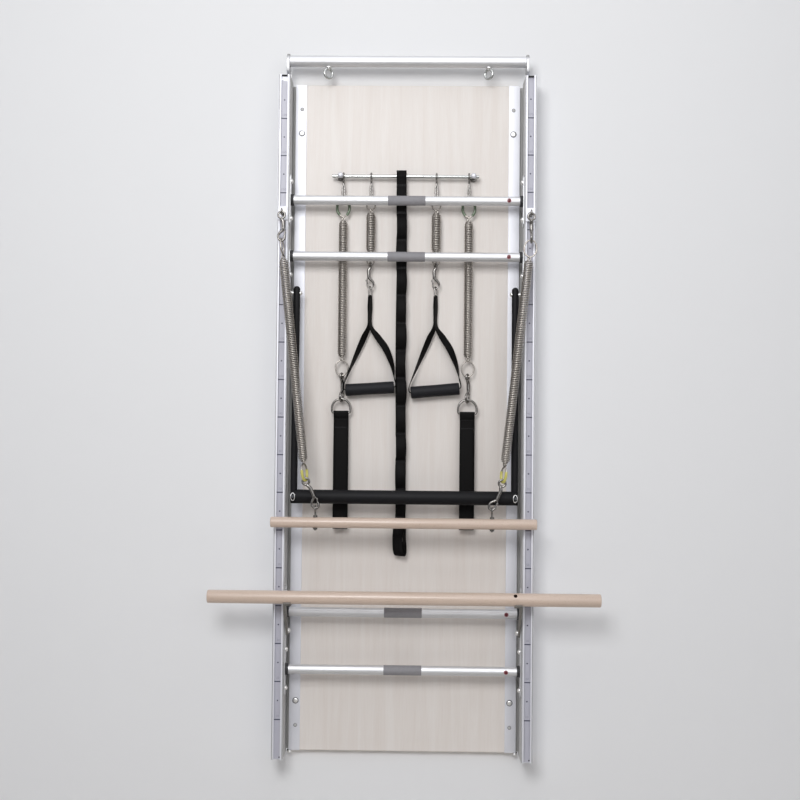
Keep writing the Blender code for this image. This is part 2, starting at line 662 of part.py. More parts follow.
def spring(name, length, radius, curls, loop_radii, loop_length, turns, look):
    """The spring hangs from its own origin down to -length. The radii and turns are those of its two loops."""
    pitch_radius = radius - SPRING_WIRE_RADIUS
    gap = 2 * SPRING_WIRE_RADIUS + 0.0012

    def end_loop(turn, loop_radius):
        flat = [(gap, -loop_length + 0.004), (gap + 0.0015, -loop_length + 0.009)]
        for step in range(7):
            angle = radians(-35 + 250 * step / 6)
            flat.append((loop_radius * cos(angle), -loop_radius + loop_radius * sin(angle)))
        flat += [(0.0, -loop_length + 0.003), (0.0, -loop_length)]
        return [Vector((x * cos(turn), x * sin(turn), z)) for x, z in flat]

    top = end_loop(turns[0], loop_radii[0])
    bottom = [Vector((p.x, -p.y, -length - p.z)) for p in end_loop(-turns[1], loop_radii[1])]
    steps = curls * CURL_POINTS
    coil_length = length - 2 * loop_length
    middle = []
    for step in range(steps + 1):
        share = step / steps
        grow = min(1.0, share * curls / 1.25, (1 - share) * curls / 1.25)
        reach = pitch_radius * max(0.0, sin(grow * pi / 2))
        angle = 2 * pi * step / CURL_POINTS
        middle.append(Vector((reach * cos(angle), reach * sin(angle), -loop_length - coil_length * share)))
    points = top + middle[1:-1] + list(reversed(bottom))
    print(name, "least gap to itself, mm:", round(1000 * least_gap(points, SPRING_WIRE_RADIUS), 2))
    return wire(name, points, SPRING_WIRE_RADIUS, look)


def least_gap(points, radius):
    """The smallest clear distance between two stretches of one tube that aren't neighbours."""
    route = np.array([tuple(point) for point in points])
    dense = np.concatenate([np.linspace(a, b, 8, endpoint=False) for a, b in zip(route, route[1:])])
    along = np.concatenate([[0.0], np.cumsum(np.linalg.norm(np.diff(dense, axis=0), axis=1))])
    apart = np.linalg.norm(dense[:, None, :] - dense[None, :, :], axis=2)
    apart[np.abs(along[:, None] - along[None, :]) < 5 * radius] = 1.0
    return apart.min() - 2 * radius


def slant(top, foot):
    """Length and tilt of a piece that hangs from top to foot, both (x, z)."""
    across, down = foot[0] - top[0], top[1] - foot[1]
    return hypot(across, down), -atan2(across, down)


# Leg sets: snap hook on the rod, spring, snap hook, D-ring and foot strap

def d_ring(name):
    route = []
    for step in range(9):
        angle = radians(22.5 * step)
        route.append((RING_HALF_WIDTH * cos(angle), 0.0, -RING_HALF_WIDTH + RING_HALF_WIDTH * sin(angle)))
    corner = RING_CORNER
    for across in (-1, 1):
        ends = [(across * RING_HALF_WIDTH, 0.0, -RING_HEIGHT + corner),
                (across * (RING_HALF_WIDTH - corner), 0.0, -RING_HEIGHT)]
        route += ends if across < 0 else list(reversed(ends))
    return wire(name, route, RING_WIRE_RADIUS, steel, cyclic=True)


def foot_strap(name):
    """A band folded over the ring's bar at the piece's origin, hanging as a narrow loop."""
    half = FOOT_STRAP_THICKNESS / 2
    top_bend = RING_WIRE_RADIUS + TOUCH_GAP + half
    bottom = -FOOT_STRAP_LENGTH + FOOT_STRAP_SPREAD + half
    route = []
    for step in range(7):
        angle = radians(180 - 30 * step)
        route.append((top_bend * cos(angle), top_bend * sin(angle)))
    route += [(FOOT_STRAP_SPREAD * 0.8, -0.030), (FOOT_STRAP_SPREAD, -0.120), (FOOT_STRAP_SPREAD, bottom + 0.05)]
    for step in range(5):
        angle = radians(-45 * step)
        route.append((FOOT_STRAP_SPREAD * cos(angle), bottom + FOOT_STRAP_SPREAD * sin(angle)))
    route += [(-FOOT_STRAP_SPREAD, bottom + 0.05), (-FOOT_STRAP_SPREAD, -0.120), (-FOOT_STRAP_SPREAD * 0.8, -0.030)]
    sections = [((0, y, z), (1, 0, 0), FOOT_STRAP_WIDTH, FOOT_STRAP_THICKNESS) for y, z in route]
    return ribbon(name, sections, webbing, cyclic=True)


def hanging_snap(name, x, pivot=None):
    top = ROD_Z + ROD_RADIUS + SNAP_WIRE_RADIUS + CHAIN_GAP
    snap = snap_hook(name, top - HANGING_SNAP_BOTTOM_Z, True, pi / 2, pi / 2)
    set_at(snap, x, ROD_STAND_OFF, top, pivot)


def leg_set(side, label):
    x = sided(side, LEG_LEFT_X, LEG_RIGHT_X)
    pivot = pivot_at("leg_swing_" + label, x, ROD_STAND_OFF, ROD_Z)
    hanging_snap("leg_rod_snap_" + label, x, pivot)
    link = SNAP_WIRE_RADIUS + SPRING_WIRE_RADIUS + CHAIN_GAP
    spring_top = HANGING_SNAP_BOTTOM_Z + link
    body = spring("leg_spring_" + label, spring_top - LEG_SPRING_BOTTOM_Z, LEG_SPRING_RADIUS, LEG_CURLS,
                  LEG_LOOP_RADII, LEG_LOOP_LENGTH, (0.0, 0.0), spring_steel)
    set_at(body, x, ROD_STAND_OFF, spring_top, pivot)
    snap_top = LEG_SPRING_BOTTOM_Z + link
    snap = snap_hook("leg_foot_snap_" + label, snap_top - LEG_SNAP_BOTTOM_Z, False, pi / 2, pi / 2)
    set_at(snap, x, ROD_STAND_OFF, snap_top, pivot)
    set_at(d_ring("foot_ring_" + label), x, ROD_STAND_OFF, RING_TOP_Z, pivot)
    set_at(foot_strap("foot_strap_" + label), x, ROD_STAND_OFF, RING_TOP_Z - RING_HEIGHT, pivot)


# Arm sets: snap hook on the rod, short spring, snap hook and a webbing handle with a foam grip

def handle_strap(name, shift, drop, tilt, bows):
    """The webbing hangs from a small ring on the snap hook and runs through the grip, which lies at drop."""
    half = WEBBING_THICKNESS / 2
    ring_top = SNAP_WIRE_RADIUS + HANDLE_RING_WIRE + HANDLE_RING_LIFT
    ring_foot = ring_top - HANDLE_RING_HEIGHT
    bend = HANDLE_RING_WIRE + half - 0.0003
    bunched = HANDLE_RING_WIDTH - 2 * HANDLE_RING_CORNER - HANDLE_RING_WIRE
    end = GRIP_LENGTH / 2 + 0.0045
    across, up = Vector((cos(tilt), 0, sin(tilt))), Vector((-sin(tilt), 0, cos(tilt)))
    middle = Vector((shift, 0, -drop))

    def facing(degrees):
        return Vector((cos(radians(degrees)), sin(radians(degrees)), 0))

    face, apart = facing(HANDLE_RING_TURN), facing(HANDLE_RING_TURN + 90)
    layer = apart * (half + 0.0007)
    route = []
    for step in range(5):
        angle = radians(180 - 45 * step)
        centre = apart * (bend * cos(angle)) + Vector((0, 0, ring_foot + bend * sin(angle)))
        route.append((centre, face, bunched, WEBBING_THICKNESS))
    route.append((layer + Vector((0, 0, ring_foot - 0.014)), face, WEBBING_WIDTH, WEBBING_THICKNESS))

    def leg(side):
        near = layer * -side
        start = near + Vector((0, 0, -WEBBING_SPLIT_DROP))
        finish_at = middle + across * (side * end) + up * GRIP_RADIUS
        bow = across * (side * sided(side, *bows))
        turns = (HANDLE_RING_TURN, sided(side, 44, 30), sided(side, 52, 24), sided(side, 74, 58), 90)
        section = []
        for share, push, turn in zip((0.0, 0.2, 0.42, 0.7, 1.0), (0.0, 0.35, 1.0, 0.85, 0.0), turns):
            centre = start.lerp(finish_at, share) + bow * push
            section.append((centre, facing(turn), WEBBING_WIDTH, WEBBING_THICKNESS))
        inside = middle + across * side * (end - 0.0015) + up * 0.0012
        below = finish_at - up * (GRIP_RADIUS - 0.006)
        section.append((below, facing(90), WEBBING_WIDTH, WEBBING_THICKNESS))
        return section + [(inside, facing(90), WEBBING_WIDTH, WEBBING_THICKNESS)]

    route += leg(-1)
    for share in (-0.8, 0.0, 0.8):
        route.append((middle + across * (end * share), facing(90), WEBBING_WIDTH, WEBBING_THICKNESS))
    route += list(reversed(leg(1)))
    route.append((layer * -1 + Vector((0, 0, ring_foot - 0.014)), face, WEBBING_WIDTH, WEBBING_THICKNESS))
    body = ribbon(name, route, webbing, cyclic=True)
    corner = HANDLE_RING_CORNER
    wide, tall = HANDLE_RING_WIDTH / 2, HANDLE_RING_HEIGHT / 2
    outline = [(wide - corner, -tall), (wide, corner - tall), (wide, tall - wide * 0.7), (wide * 0.7, tall - wide * 0.25),
               (0.0, tall)]
    outline += [(-u, v) for u, v in reversed(outline[:-1])]
    ring = [face * u + Vector((0, 0, ring_foot + tall + v)) for u, v in outline]
    combine(body, [wire("ring", ring, HANDLE_RING_WIRE, steel, cyclic=True)], "UNION")
    return body


def arm_set(side, label):
    x = sided(side, ARM_LEFT_X, ARM_RIGHT_X)
    hanging_snap("arm_rod_snap_" + label, x)
    link = SNAP_WIRE_RADIUS + SPRING_WIRE_RADIUS + CHAIN_GAP
    spring_top = HANGING_SNAP_BOTTOM_Z + link
    body = spring("arm_spring_" + label, spring_top - ARM_SPRING_BOTTOM_Z, ARM_SPRING_RADIUS, ARM_CURLS,
                  ARM_LOOP_RADII, ARM_LOOP_LENGTH, (0.0, 0.0), spring_steel)
    set_at(body, x, ROD_STAND_OFF, spring_top)
    snap_top = ARM_SPRING_BOTTOM_Z + link
    snap = snap_hook("handle_snap_" + label, snap_top - ARM_SNAP_BOTTOM_Z, False, pi / 2, pi)
    set_at(snap, x, ROD_STAND_OFF, snap_top)
    pivot = pivot_at("handle_swing_" + label, x, ROD_STAND_OFF, ARM_SNAP_BOTTOM_Z)
    shift = sided(side, HANDLE_SHIFT_LEFT, HANDLE_SHIFT_RIGHT)
    drop = sided(side, HANDLE_DROP_LEFT, HANDLE_DROP_RIGHT)
    tilt = sided(side, HANDLE_TILT_LEFT, HANDLE_TILT_RIGHT)
    bows = sided(side, HANDLE_BOWS_LEFT, HANDLE_BOWS_RIGHT)
    strap = handle_strap("handle_strap_" + label, shift, drop, tilt, bows)
    set_at(strap, x, ROD_STAND_OFF, ARM_SNAP_BOTTOM_Z, pivot)
    half = GRIP_LENGTH / 2
    profile = [(GRIP_BORE_RADIUS, -half), (GRIP_RADIUS, -half), (GRIP_RADIUS, half), (GRIP_BORE_RADIUS, half)]
    grip = turned("handle_grip_" + label, profile, 16, foam, "X")
    set_at(grip, x + shift, ROD_STAND_OFF, ARM_SNAP_BOTTOM_Z - drop, pivot, -tilt)


# Centre loop strap: webbing over the rod, its front sewn to its back into a row of loops

def loop_strap():
    half = LOOP_STRAP_THICKNESS / 2
    bend = (ROD_RADIUS + TOUCH_GAP) / cos(radians(15)) + half
    sewn = half + 0.0004
    drop = ROD_Z - LOOP_STRAP_BOTTOM_Z
    first, last = -0.030, -drop + END_LOOP_LENGTH
    pitch = (first - last) / LOOP_COUNT
    route = []
    for step in range(7):
        angle = radians(180 - 30 * step)
        route.append((bend * cos(angle), bend * sin(angle), 0.0))
    route += [(sewn, first, 0.0), (sewn, (first + last) / 2, 0.0), (sewn, last, 0.0)]
    bottom = -drop + END_LOOP_RADIUS + half
    for step in range(7):
        angle = radians(36 - 42 * step)
        reach = (END_LOOP_RADIUS * cos(angle), bottom + END_LOOP_RADIUS * sin(angle))
        route.append((*reach, END_LOOP_TURN))
    for number in range(LOOP_COUNT):
        base = last + pitch * number
        route.append((-sewn, base, 0.0))
        for share in (0.22, 0.5, 0.78):
            route.append((-sewn - LOOP_BULGE * sin(share * pi), base + pitch * share, 0.0))
    route.append((-sewn, first, 0.0))
    sections = []
    for y, z, turn in route:
        shift = LOOP_STRAP_DRIFT * (0.5 + z / drop)
        centre = (-y * sin(turn) - shift, y * cos(turn), z)
        sections.append((centre, (cos(turn), sin(turn), 0), LOOP_STRAP_WIDTH, LOOP_STRAP_THICKNESS))
    set_at(ribbon("loop_strap", sections, webbing, cyclic=True), LOOP_STRAP_X, ROD_STAND_OFF, ROD_Z)


# Push-through bar: two round arms on pivot studs and a thick tube between them

def push_through_bar():
    half = PUSH_TUBE_HALF
    edge = 0.002
    profile = [
        (0, -half), (PUSH_TUBE_RADIUS - edge, -half), (PUSH_TUBE_RADIUS, -half + edge),
        (PUSH_TUBE_RADIUS, half - edge), (PUSH_TUBE_RADIUS - edge, half), (0, half),
    ]
    body = turned("push_through_bar", profile, 20, black_coat, "X")
    body.location = (0, CROSS_BAR_STAND_OFF - PUSH_TUBE_STAND_OFF, -PUSH_REACH)
    body.data.transform(Matrix.Translation(body.location))
    body.location = (0, 0, 0)
    arms, bores = [], []
    straight = PUSH_ARM_OVER_PIVOT - PUSH_ARM_RADIUS
    reach = hypot(PUSH_REACH, PUSH_TUBE_STAND_OFF - CROSS_BAR_STAND_OFF) + 0.016
    for side in (-1, 1):
        top = dome(PUSH_ARM_RADIUS, PUSH_ARM_RADIUS, straight)
        foot = [(r, -reach - (z - straight)) for r, z in reversed(top)]
        arm = turned("arm", foot + top, 14, black_coat)
        arm.rotation_euler = (-PUSH_LEAN, 0, 0)
        arm.location = (side * PUSH_ARM_X, 0, 0)
        arms.append(arm)
        bore = PUSH_STUD_RADIUS + PIVOT_CLEARANCE
        cut = turned("bore", [(0, -0.02), (bore, -0.02), (bore, 0.02), (0, 0.02)], 16, black_coat, "X")
        cut.location = (side * PUSH_ARM_X, 0, 0)
        bores.append(cut)
    combine(body, arms, "UNION")
    combine(body, bores, "DIFFERENCE")
    pivot = pivot_at("push_pivot", 0, CROSS_BAR_STAND_OFF, PUSH_PIVOT_Z)
    set_at(body, 0, CROSS_BAR_STAND_OFF, PUSH_PIVOT_Z, pivot)


# Carriages: T-nuts in the rails' front grooves, each with a plate and a forward eye bolt

def carriage(side, label):
    nut = GROOVE_WIDTH / 2 - SLIDE_CLEARANCE
    neck = GROOVE_MOUTH / 2 - SLIDE_CLEARANCE
    plate = CARRIAGE_PLATE_WIDTH / 2
    floor, lip = GROOVE_FLOOR + TOUCH_GAP, RAIL_FRONT - GROOVE_LIP - TOUCH_GAP
    front = RAIL_FRONT + TOUCH_GAP
    face = front + CARRIAGE_PLATE_THICKNESS
    half = [(nut, floor), (nut, lip), (neck, lip), (neck, front), (plate, front), (plate, face)]
    outline = half + [(-x, depth) for x, depth in reversed(half)]
    outline = [(x, CHAIN_STAND_OFF - depth) for x, depth in outline]
    height = CARRIAGE_LENGTH / 2
    body = prism("carriage_" + label, outline, -height, height, "Z", silver)
    root = face - 0.001 - CHAIN_STAND_OFF
    tip = -CARRIAGE_EYE_RADIUS
    collar = CARRIAGE_SHANK_RADIUS + 0.003
    profile = [(0, root), (collar, root), (collar, root + 0.004), (CARRIAGE_SHANK_RADIUS, root + 0.004),
               (CARRIAGE_SHANK_RADIUS, tip), (0, tip)]
    shank = turned("shank", profile, 10, steel, "Y")
    shank.rotation_euler = (0, 0, pi)
    ring = [(0, CARRIAGE_EYE_RADIUS * cos(a), CARRIAGE_EYE_RADIUS * sin(a)) for a in (i * pi / 6 for i in range(12))]
    eye = wire("eye", ring, CARRIAGE_EYE_WIRE, steel, cyclic=True)
    combine(body, [shank, eye], "UNION")
    set_at(body, side * RAIL_MID_X, CHAIN_STAND_OFF, CARRIAGE_Z)


# Roll-down bar: a beech dowel on eye bolts, hung from the carriages by two long springs

def roll_down(pivot):
    for side, label in SIDES:
        hang_x = side * RAIL_MID_X
        ring_bottom = CARRIAGE_Z - CARRIAGE_EYE_RADIUS
        snap_top = ring_bottom + SNAP_WIRE_RADIUS + CARRIAGE_EYE_WIRE + CARRIAGE_LINK_GAP
        lower_turn = sided(side, 0.0, pi / 2)
        snap = snap_hook("side_top_snap_" + label, snap_top - SIDE_SNAP_BOTTOM_Z, False, 0.0, lower_turn)
        set_at(snap, hang_x, CHAIN_STAND_OFF, snap_top, pivot)
        link = SNAP_WIRE_RADIUS + SPRING_WIRE_RADIUS + CHAIN_GAP
        top = (hang_x, SIDE_SNAP_BOTTOM_Z + link)
        foot = (side * SIDE_SPRING_FOOT[0], SIDE_SPRING_FOOT[1])
        length, tilt = slant(top, foot)
        loops = (sided(side, pi / 2, 0.0), pi / 2)
        body = spring("side_spring_" + label, length, SIDE_SPRING_RADIUS, SIDE_CURLS, SIDE_LOOP_RADII,
                      SIDE_LOOP_LENGTH, loops, spring_steel)
        set_at(body, top[0], CHAIN_STAND_OFF, top[1], pivot, tilt)
        hook = (side * LOW_SNAP_FOOT[0], LOW_SNAP_FOOT[1] + SNAP_HOOK_RADIUS)
        length, tilt = slant(foot, hook)
        top = (foot[0] + link * sin(tilt), foot[1] + link * cos(tilt))
        snap = snap_hook("bar_snap_" + label, length + link + SNAP_HOOK_RADIUS, False, 0.0, 0.0)
        set_at(snap, top[0], CHAIN_STAND_OFF, top[1], pivot, tilt)
        eye_bolt("bar_eye_bolt_" + label, hook[0], pivot)
    half = ROLL_BAR_LENGTH / 2
    edge = 0.0015
    profile = [
        (0, -half), (ROLL_BAR_RADIUS - edge, -half), (ROLL_BAR_RADIUS, -half + edge),
        (ROLL_BAR_RADIUS, half - edge), (ROLL_BAR_RADIUS - edge, half), (0, half),
    ]
    bar = turned("roll_down_bar", profile, 20, beech, "X")
    hole = BAR_BOLT_RADIUS + TOUCH_GAP
    cuts = []
    for side in (-1, 1):
        cut = turned("hole", [(0, -0.02), (hole, -0.02), (hole, 0.02), (0, 0.02)], 10, beech)
        cut.location = (side * LOW_SNAP_FOOT[0], 0, 0)
        cuts.append(cut)
    combine(bar, cuts, "DIFFERENCE")
    set_at(bar, 0, CHAIN_STAND_OFF, ROLL_BAR_Z, pivot)


def eye_bolt(name, x, pivot):
    washer = ROLL_BAR_RADIUS + TOUCH_GAP
    neck = washer + BAR_EYE_NECK - TOUCH_GAP
    profile = [
        (0, -washer - BAR_NUT_HEIGHT - 0.002), (BAR_BOLT_RADIUS, -washer - BAR_NUT_HEIGHT - 0.002),
        (BAR_BOLT_RADIUS, -washer - BAR_NUT_HEIGHT), (BAR_NUT_RADIUS, -washer - BAR_NUT_HEIGHT),
        (BAR_NUT_RADIUS, -washer), (BAR_BOLT_RADIUS, -washer), (BAR_BOLT_RADIUS, washer),
        (BAR_NUT_RADIUS, washer), (BAR_NUT_RADIUS, washer + 0.0025), (BAR_BOLT_RADIUS, washer + 0.0025),
        (BAR_BOLT_RADIUS, neck), (0, neck),
    ]
    body = turned(name, profile, 8, steel)
    middle = neck + BAR_EYE_RADIUS
    ring = [(0, BAR_EYE_RADIUS * cos(a), middle + BAR_EYE_RADIUS * sin(a)) for a in (i * pi / 6 for i in range(12))]
    combine(body, [wire("eye", ring, BAR_EYE_WIRE, steel, cyclic=True)], "UNION")
    set_at(body, x, CHAIN_STAND_OFF, ROLL_BAR_Z, pivot)


# Long bar: a loose beech bar with one through hole, lying in two cradles

def long_bar():
    half = LONG_BAR_LENGTH / 2
    edge = 0.0015
    profile = [
        (0, -half), (LONG_BAR_RADIUS - edge, -half), (LONG_BAR_RADIUS, -half + edge),
        (LONG_BAR_RADIUS, half - edge), (LONG_BAR_RADIUS - edge, half), (0, half),
    ]
    bar = turned("long_bar", profile, 24, beech, "X")
    hole = turned("hole", [(0, -0.03), (LONG_BAR_HOLE_RADIUS, -0.03), (LONG_BAR_HOLE_RADIUS, 0.03), (0, 0.03)],
                  12, beech, "Y")
    hole.location = (LONG_BAR_HOLE_X - LONG_BAR_X, 0, 0)
    combine(bar, [hole], "DIFFERENCE")
    set_at(bar, LONG_BAR_X, LONG_BAR_STAND_OFF, LONG_BAR_Z)


def bar_cradle(side, label):
    """A pointed arm bolted on the low hole plate, with a shallow trough for the long bar."""
    bolt_z = CROSS_BAR_HEIGHTS[2] - HOLE_PITCH
    inner = LONG_BAR_RADIUS + TOUCH_GAP
    outer = inner + CRADLE_THICKNESS
    start, stop = radians(270) - CRADLE_OPENING / 2, radians(270) + CRADLE_OPENING / 2
    trough = []
    for step in range(7):
        angle = start + (stop - start) * step / 6
        trough.append((inner * cos(angle), inner * sin(angle)))
    for step in range(7):
        angle = stop + (start - stop) * step / 6
        trough.append((outer * cos(angle), outer * sin(angle)))
    trough = [(y - LONG_BAR_STAND_OFF, z + LONG_BAR_Z) for y, z in trough]
    face = PLATE_FACE_X - TOUCH_GAP
    body = prism("bar_cradle_" + label, trough, side * face, side * (face - CRADLE_WIDTH), "X", silver)
    under = LONG_BAR_Z - outer + 0.002
    arm = [
        (-CROSS_BAR_STAND_OFF + CRADLE_ARM_HALF, bolt_z + 0.004),
        (-CROSS_BAR_STAND_OFF + 0.004, bolt_z - CRADLE_ARM_HALF),
        (-CROSS_BAR_STAND_OFF - 0.006, bolt_z - CRADLE_ARM_HALF),
        (-LONG_BAR_STAND_OFF - 0.008, under - 0.004),
        (-LONG_BAR_STAND_OFF - 0.010, under + 0.002),
        (-LONG_BAR_STAND_OFF + 0.010, under + 0.002),
        (-LONG_BAR_STAND_OFF + 0.026, under - 0.016),
        (-CROSS_BAR_STAND_OFF - 0.008, bolt_z + 0.016),
    ]
    web = prism("web", arm, side * face, side * (face - CRADLE_ARM_THICKNESS), "X", silver)
    profile = [(0.0, -0.001), (DOME_RADIUS, -0.001)] + dome(DOME_RADIUS, DOME_HEIGHT, 0.0)
    head = turned("head", profile, 10, steel, "X")
    head.rotation_euler = (0, 0, pi if side > 0 else 0)
    head.location = (side * (face - CRADLE_ARM_THICKNESS), -CROSS_BAR_STAND_OFF, bolt_z)
    combine(body, [web, head], "UNION")


# Assembly

back_panel()
top_bar()
hanger_rod()
loop_strap()
for count, bar_height in enumerate(CROSS_BAR_HEIGHTS, start=1):
    cross_bar(count, bar_height)
for hand, word in SIDES:
    edge_profile(hand, word)
    rail(hand, word)
    top_upright(hand, word)
    hole_plates(hand, word)
    leg_set(hand, word)
    arm_set(hand, word)
    carriage(hand, word)
    bar_cradle(hand, word)
push_through_bar()
roll_down(pivot_at("roll_down_pivot", 0, CHAIN_STAND_OFF, CARRIAGE_Z))
long_bar()
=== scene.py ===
# Pilates wall board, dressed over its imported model.
# The wall is the plane Y = 0 and the board stands out of it towards -Y. X runs across and +Z is up.
# The origin is the middle of the panel's back. Sizes are in metres.

from math import atan2, cos, hypot, pi, radians, sin

import bmesh
import bpy
from mathutils import Matrix, Vector


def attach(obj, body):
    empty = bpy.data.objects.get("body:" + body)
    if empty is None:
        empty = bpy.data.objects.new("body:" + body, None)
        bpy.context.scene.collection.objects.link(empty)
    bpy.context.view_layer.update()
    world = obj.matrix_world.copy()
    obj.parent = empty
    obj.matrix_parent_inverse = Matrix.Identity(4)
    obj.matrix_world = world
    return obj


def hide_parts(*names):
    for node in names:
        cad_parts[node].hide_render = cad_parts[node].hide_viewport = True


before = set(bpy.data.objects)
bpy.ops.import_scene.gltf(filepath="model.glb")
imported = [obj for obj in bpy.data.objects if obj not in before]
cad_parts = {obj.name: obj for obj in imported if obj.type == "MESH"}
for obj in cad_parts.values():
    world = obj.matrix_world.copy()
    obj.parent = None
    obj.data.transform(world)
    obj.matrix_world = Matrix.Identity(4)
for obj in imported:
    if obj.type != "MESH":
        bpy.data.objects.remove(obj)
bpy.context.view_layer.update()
SIDES = ((-1, "left"), (1, "right"))


# Camera: 3.3 m in front of the board and level with its middle, turned a little to the left.
# The lens sees about 2.2 m of the wall, so the whole board stands in the frame.

CAMERA_PLACE = (0.0374, -3.2755, -0.0401)
CAMERA_YAW, CAMERA_PITCH, CAMERA_ROLL = radians(0.902), radians(1.474), radians(-0.546)

lens = bpy.data.cameras.new("camera")
lens.lens, lens.sensor_width = 54.0, 36.0
lens.clip_end = 60.0
camera = bpy.data.objects.new("camera", lens)
bpy.context.collection.objects.link(camera)
turn = Matrix.Rotation(CAMERA_YAW, 4, "Z") @ Matrix.Rotation(CAMERA_PITCH, 4, "X")
turn = turn @ Matrix.Rotation(CAMERA_ROLL, 4, "Y") @ Matrix.Rotation(pi / 2, 4, "X")
camera.matrix_world = Matrix.Translation(CAMERA_PLACE) @ turn
bpy.context.scene.camera = camera


# Wall and floor: plain matt emulsion on the wall, a plain pale floor well below the board.
# Seen from behind, the wall lets the view through, and light that starts less than 30 mm in front of it,
# so that the board's back can be looked at and isn't black.

WALL_COLOUR = "#ebecee"
FLOOR_COLOUR = "#cdc9c4"
ROOM_WIDE, ROOM_DEEP, WALL_FOOT, WALL_TOP, FLOOR_Z = 7, 8, -4, 5, -1.45
WALL_BEHIND, NEAR_WALL = 0.0015, 0.03


def paint(code):
    """An sRGB hex colour turned linear."""
    parts = [int(code[i:i + 2], 16) / 255 for i in (1, 3, 5)]
    return tuple(c / 12.92 if c <= 0.04045 else ((c + 0.055) / 1.055) ** 2.4 for c in parts) + (1.0,)


def add(tree, kind, values=None, links=None, **settings):
    """Adds one node with its settings, its sockets' values and its links."""
    node = tree.nodes.new(kind)
    for name, value in settings.items():
        setattr(node, name, value)
    for socket, value in (values or {}).items():
        node.inputs[socket].default_value = value
    for socket, source in (links or {}).items():
        tree.links.new(source, node.inputs[socket])
    return node


def surface(name, **values):
    """A material with one plain shader, its own numbers set on the shader's sockets."""
    made = bpy.data.materials.new(name)
    made.use_nodes = True
    shader = made.node_tree.nodes["Principled BSDF"]
    for socket, value in values.items():
        shader.inputs[socket.replace("_", " ")].default_value = value
    return made, made.node_tree, shader


emulsion, tree, shader = surface("wall_emulsion", Roughness=0.85, Base_Color=paint(WALL_COLOUR))
behind = add(tree, "ShaderNodeNewGeometry")
path = add(tree, "ShaderNodeLightPath")
near = add(tree, "ShaderNodeMath", operation="LESS_THAN", values={1: NEAR_WALL},
           links={0: path.outputs["Ray Length"]})
near = add(tree, "ShaderNodeMath", operation="SUBTRACT",
           links={0: near.outputs[0], 1: path.outputs["Is Camera Ray"]})
open_share = add(tree, "ShaderNodeMath", operation="MAXIMUM",
                 links={0: near.outputs[0], 1: behind.outputs["Backfacing"]})
clear = add(tree, "ShaderNodeBsdfTransparent")
mixed = add(tree, "ShaderNodeMixShader",
            links={0: open_share.outputs[0], 1: shader.outputs[0], 2: clear.outputs[0]})
tree.links.new(mixed.outputs[0], tree.nodes["Material Output"].inputs["Surface"])
concrete = surface("floor_paint", Roughness=0.8, Base_Color=paint(FLOOR_COLOUR))[0]


def shown(name, mesh, looks):
    """Links a mesh under its name, with its finishes."""
    for look in looks:
        mesh.materials.append(look)
    made = bpy.data.objects.new(name, mesh)
    bpy.context.collection.objects.link(made)
    return made


def sheet_of(name, corners, look):
    """One flat face of the room."""
    mesh = bpy.data.meshes.new(name)
    mesh.from_pydata(corners, [], [tuple(range(len(corners)))])
    shown(name, mesh, [look])


sheet_of("wall", [(-ROOM_WIDE, WALL_BEHIND, WALL_FOOT), (ROOM_WIDE, WALL_BEHIND, WALL_FOOT),
                  (ROOM_WIDE, WALL_BEHIND, WALL_TOP), (-ROOM_WIDE, WALL_BEHIND, WALL_TOP)], emulsion)
sheet_of("floor", [(-ROOM_WIDE, -ROOM_DEEP, FLOOR_Z), (ROOM_WIDE, -ROOM_DEEP, FLOOR_Z),
                   (ROOM_WIDE, ROOM_DEEP, FLOOR_Z), (-ROOM_WIDE, ROOM_DEEP, FLOOR_Z)], concrete)


# Light: a large soft lamp over the viewer's left shoulder, a wide one below the ceiling, a weak wide one on
# the right and a pale room. The lamps are near enough for the board to grow darker towards its foot.
# One more stands behind the wall and lights the back alone.

LAMPS = (("front_lamp", (-0.6, -3.2, 1.45), (0.0, 0.0, 0.3), 1.25, 60.0),
         ("ceiling_lamp", (0.2, -1.9, 3.1), (0.0, -0.3, 0.9), 2.2, 16.0),
         ("fill_lamp", (1.5, -3.5, 0.8), (0.0, 0.0, 0.0), 2.4, 19.0),
         ("back_lamp", (0.6, 3.2, 1.2), (0.0, 0.0, 0.0), 2.0, 45.0))
ROOM_LIGHT = 0.31
ROOM_ABOVE, ROOM_BELOW = 1.0, 0.28

for name, place, target, size, power in LAMPS:
    lamp = bpy.data.lights.new(name, "AREA")
    lamp.energy, lamp.size = power, size
    holder = bpy.data.objects.new(name, lamp)
    bpy.context.collection.objects.link(holder)
    holder.location = place
    holder.rotation_euler = (Vector(target) - Vector(place)).to_track_quat("-Z", "Y").to_euler()

room = bpy.data.worlds.new("room")
room.use_nodes = True
tree = room.node_tree
path = add(tree, "ShaderNodeLightPath")
seen = add(tree, "ShaderNodeMath", operation="MAXIMUM",
           links={0: path.outputs["Is Camera Ray"], 1: path.outputs["Is Glossy Ray"]})
seen = add(tree, "ShaderNodeMath", operation="MAXIMUM",
           links={0: seen.outputs[0], 1: path.outputs["Is Transmission Ray"]})
way = add(tree, "ShaderNodeTexCoord")
way = add(tree, "ShaderNodeSeparateXYZ", links={0: way.outputs["Generated"]})
sky = add(tree, "ShaderNodeMapRange", interpolation_type="SMOOTHSTEP",
          values={"From Min": -0.35, "From Max": 0.5, "To Min": ROOM_BELOW, "To Max": ROOM_ABOVE},
          links={"Value": way.outputs["Z"]})
level = add(tree, "ShaderNodeMapRange", values={"To Min": ROOM_LIGHT, "To Max": 1.0},
            links={"Value": seen.outputs[0]})
level = add(tree, "ShaderNodeMath", operation="MULTIPLY", links={0: level.outputs[0], 1: sky.outputs[0]})
tree.links.new(level.outputs[0], tree.nodes["Background"].inputs["Strength"])
tree.nodes["Background"].inputs["Color"].default_value = paint("#fbfbff")
bpy.context.scene.world = room
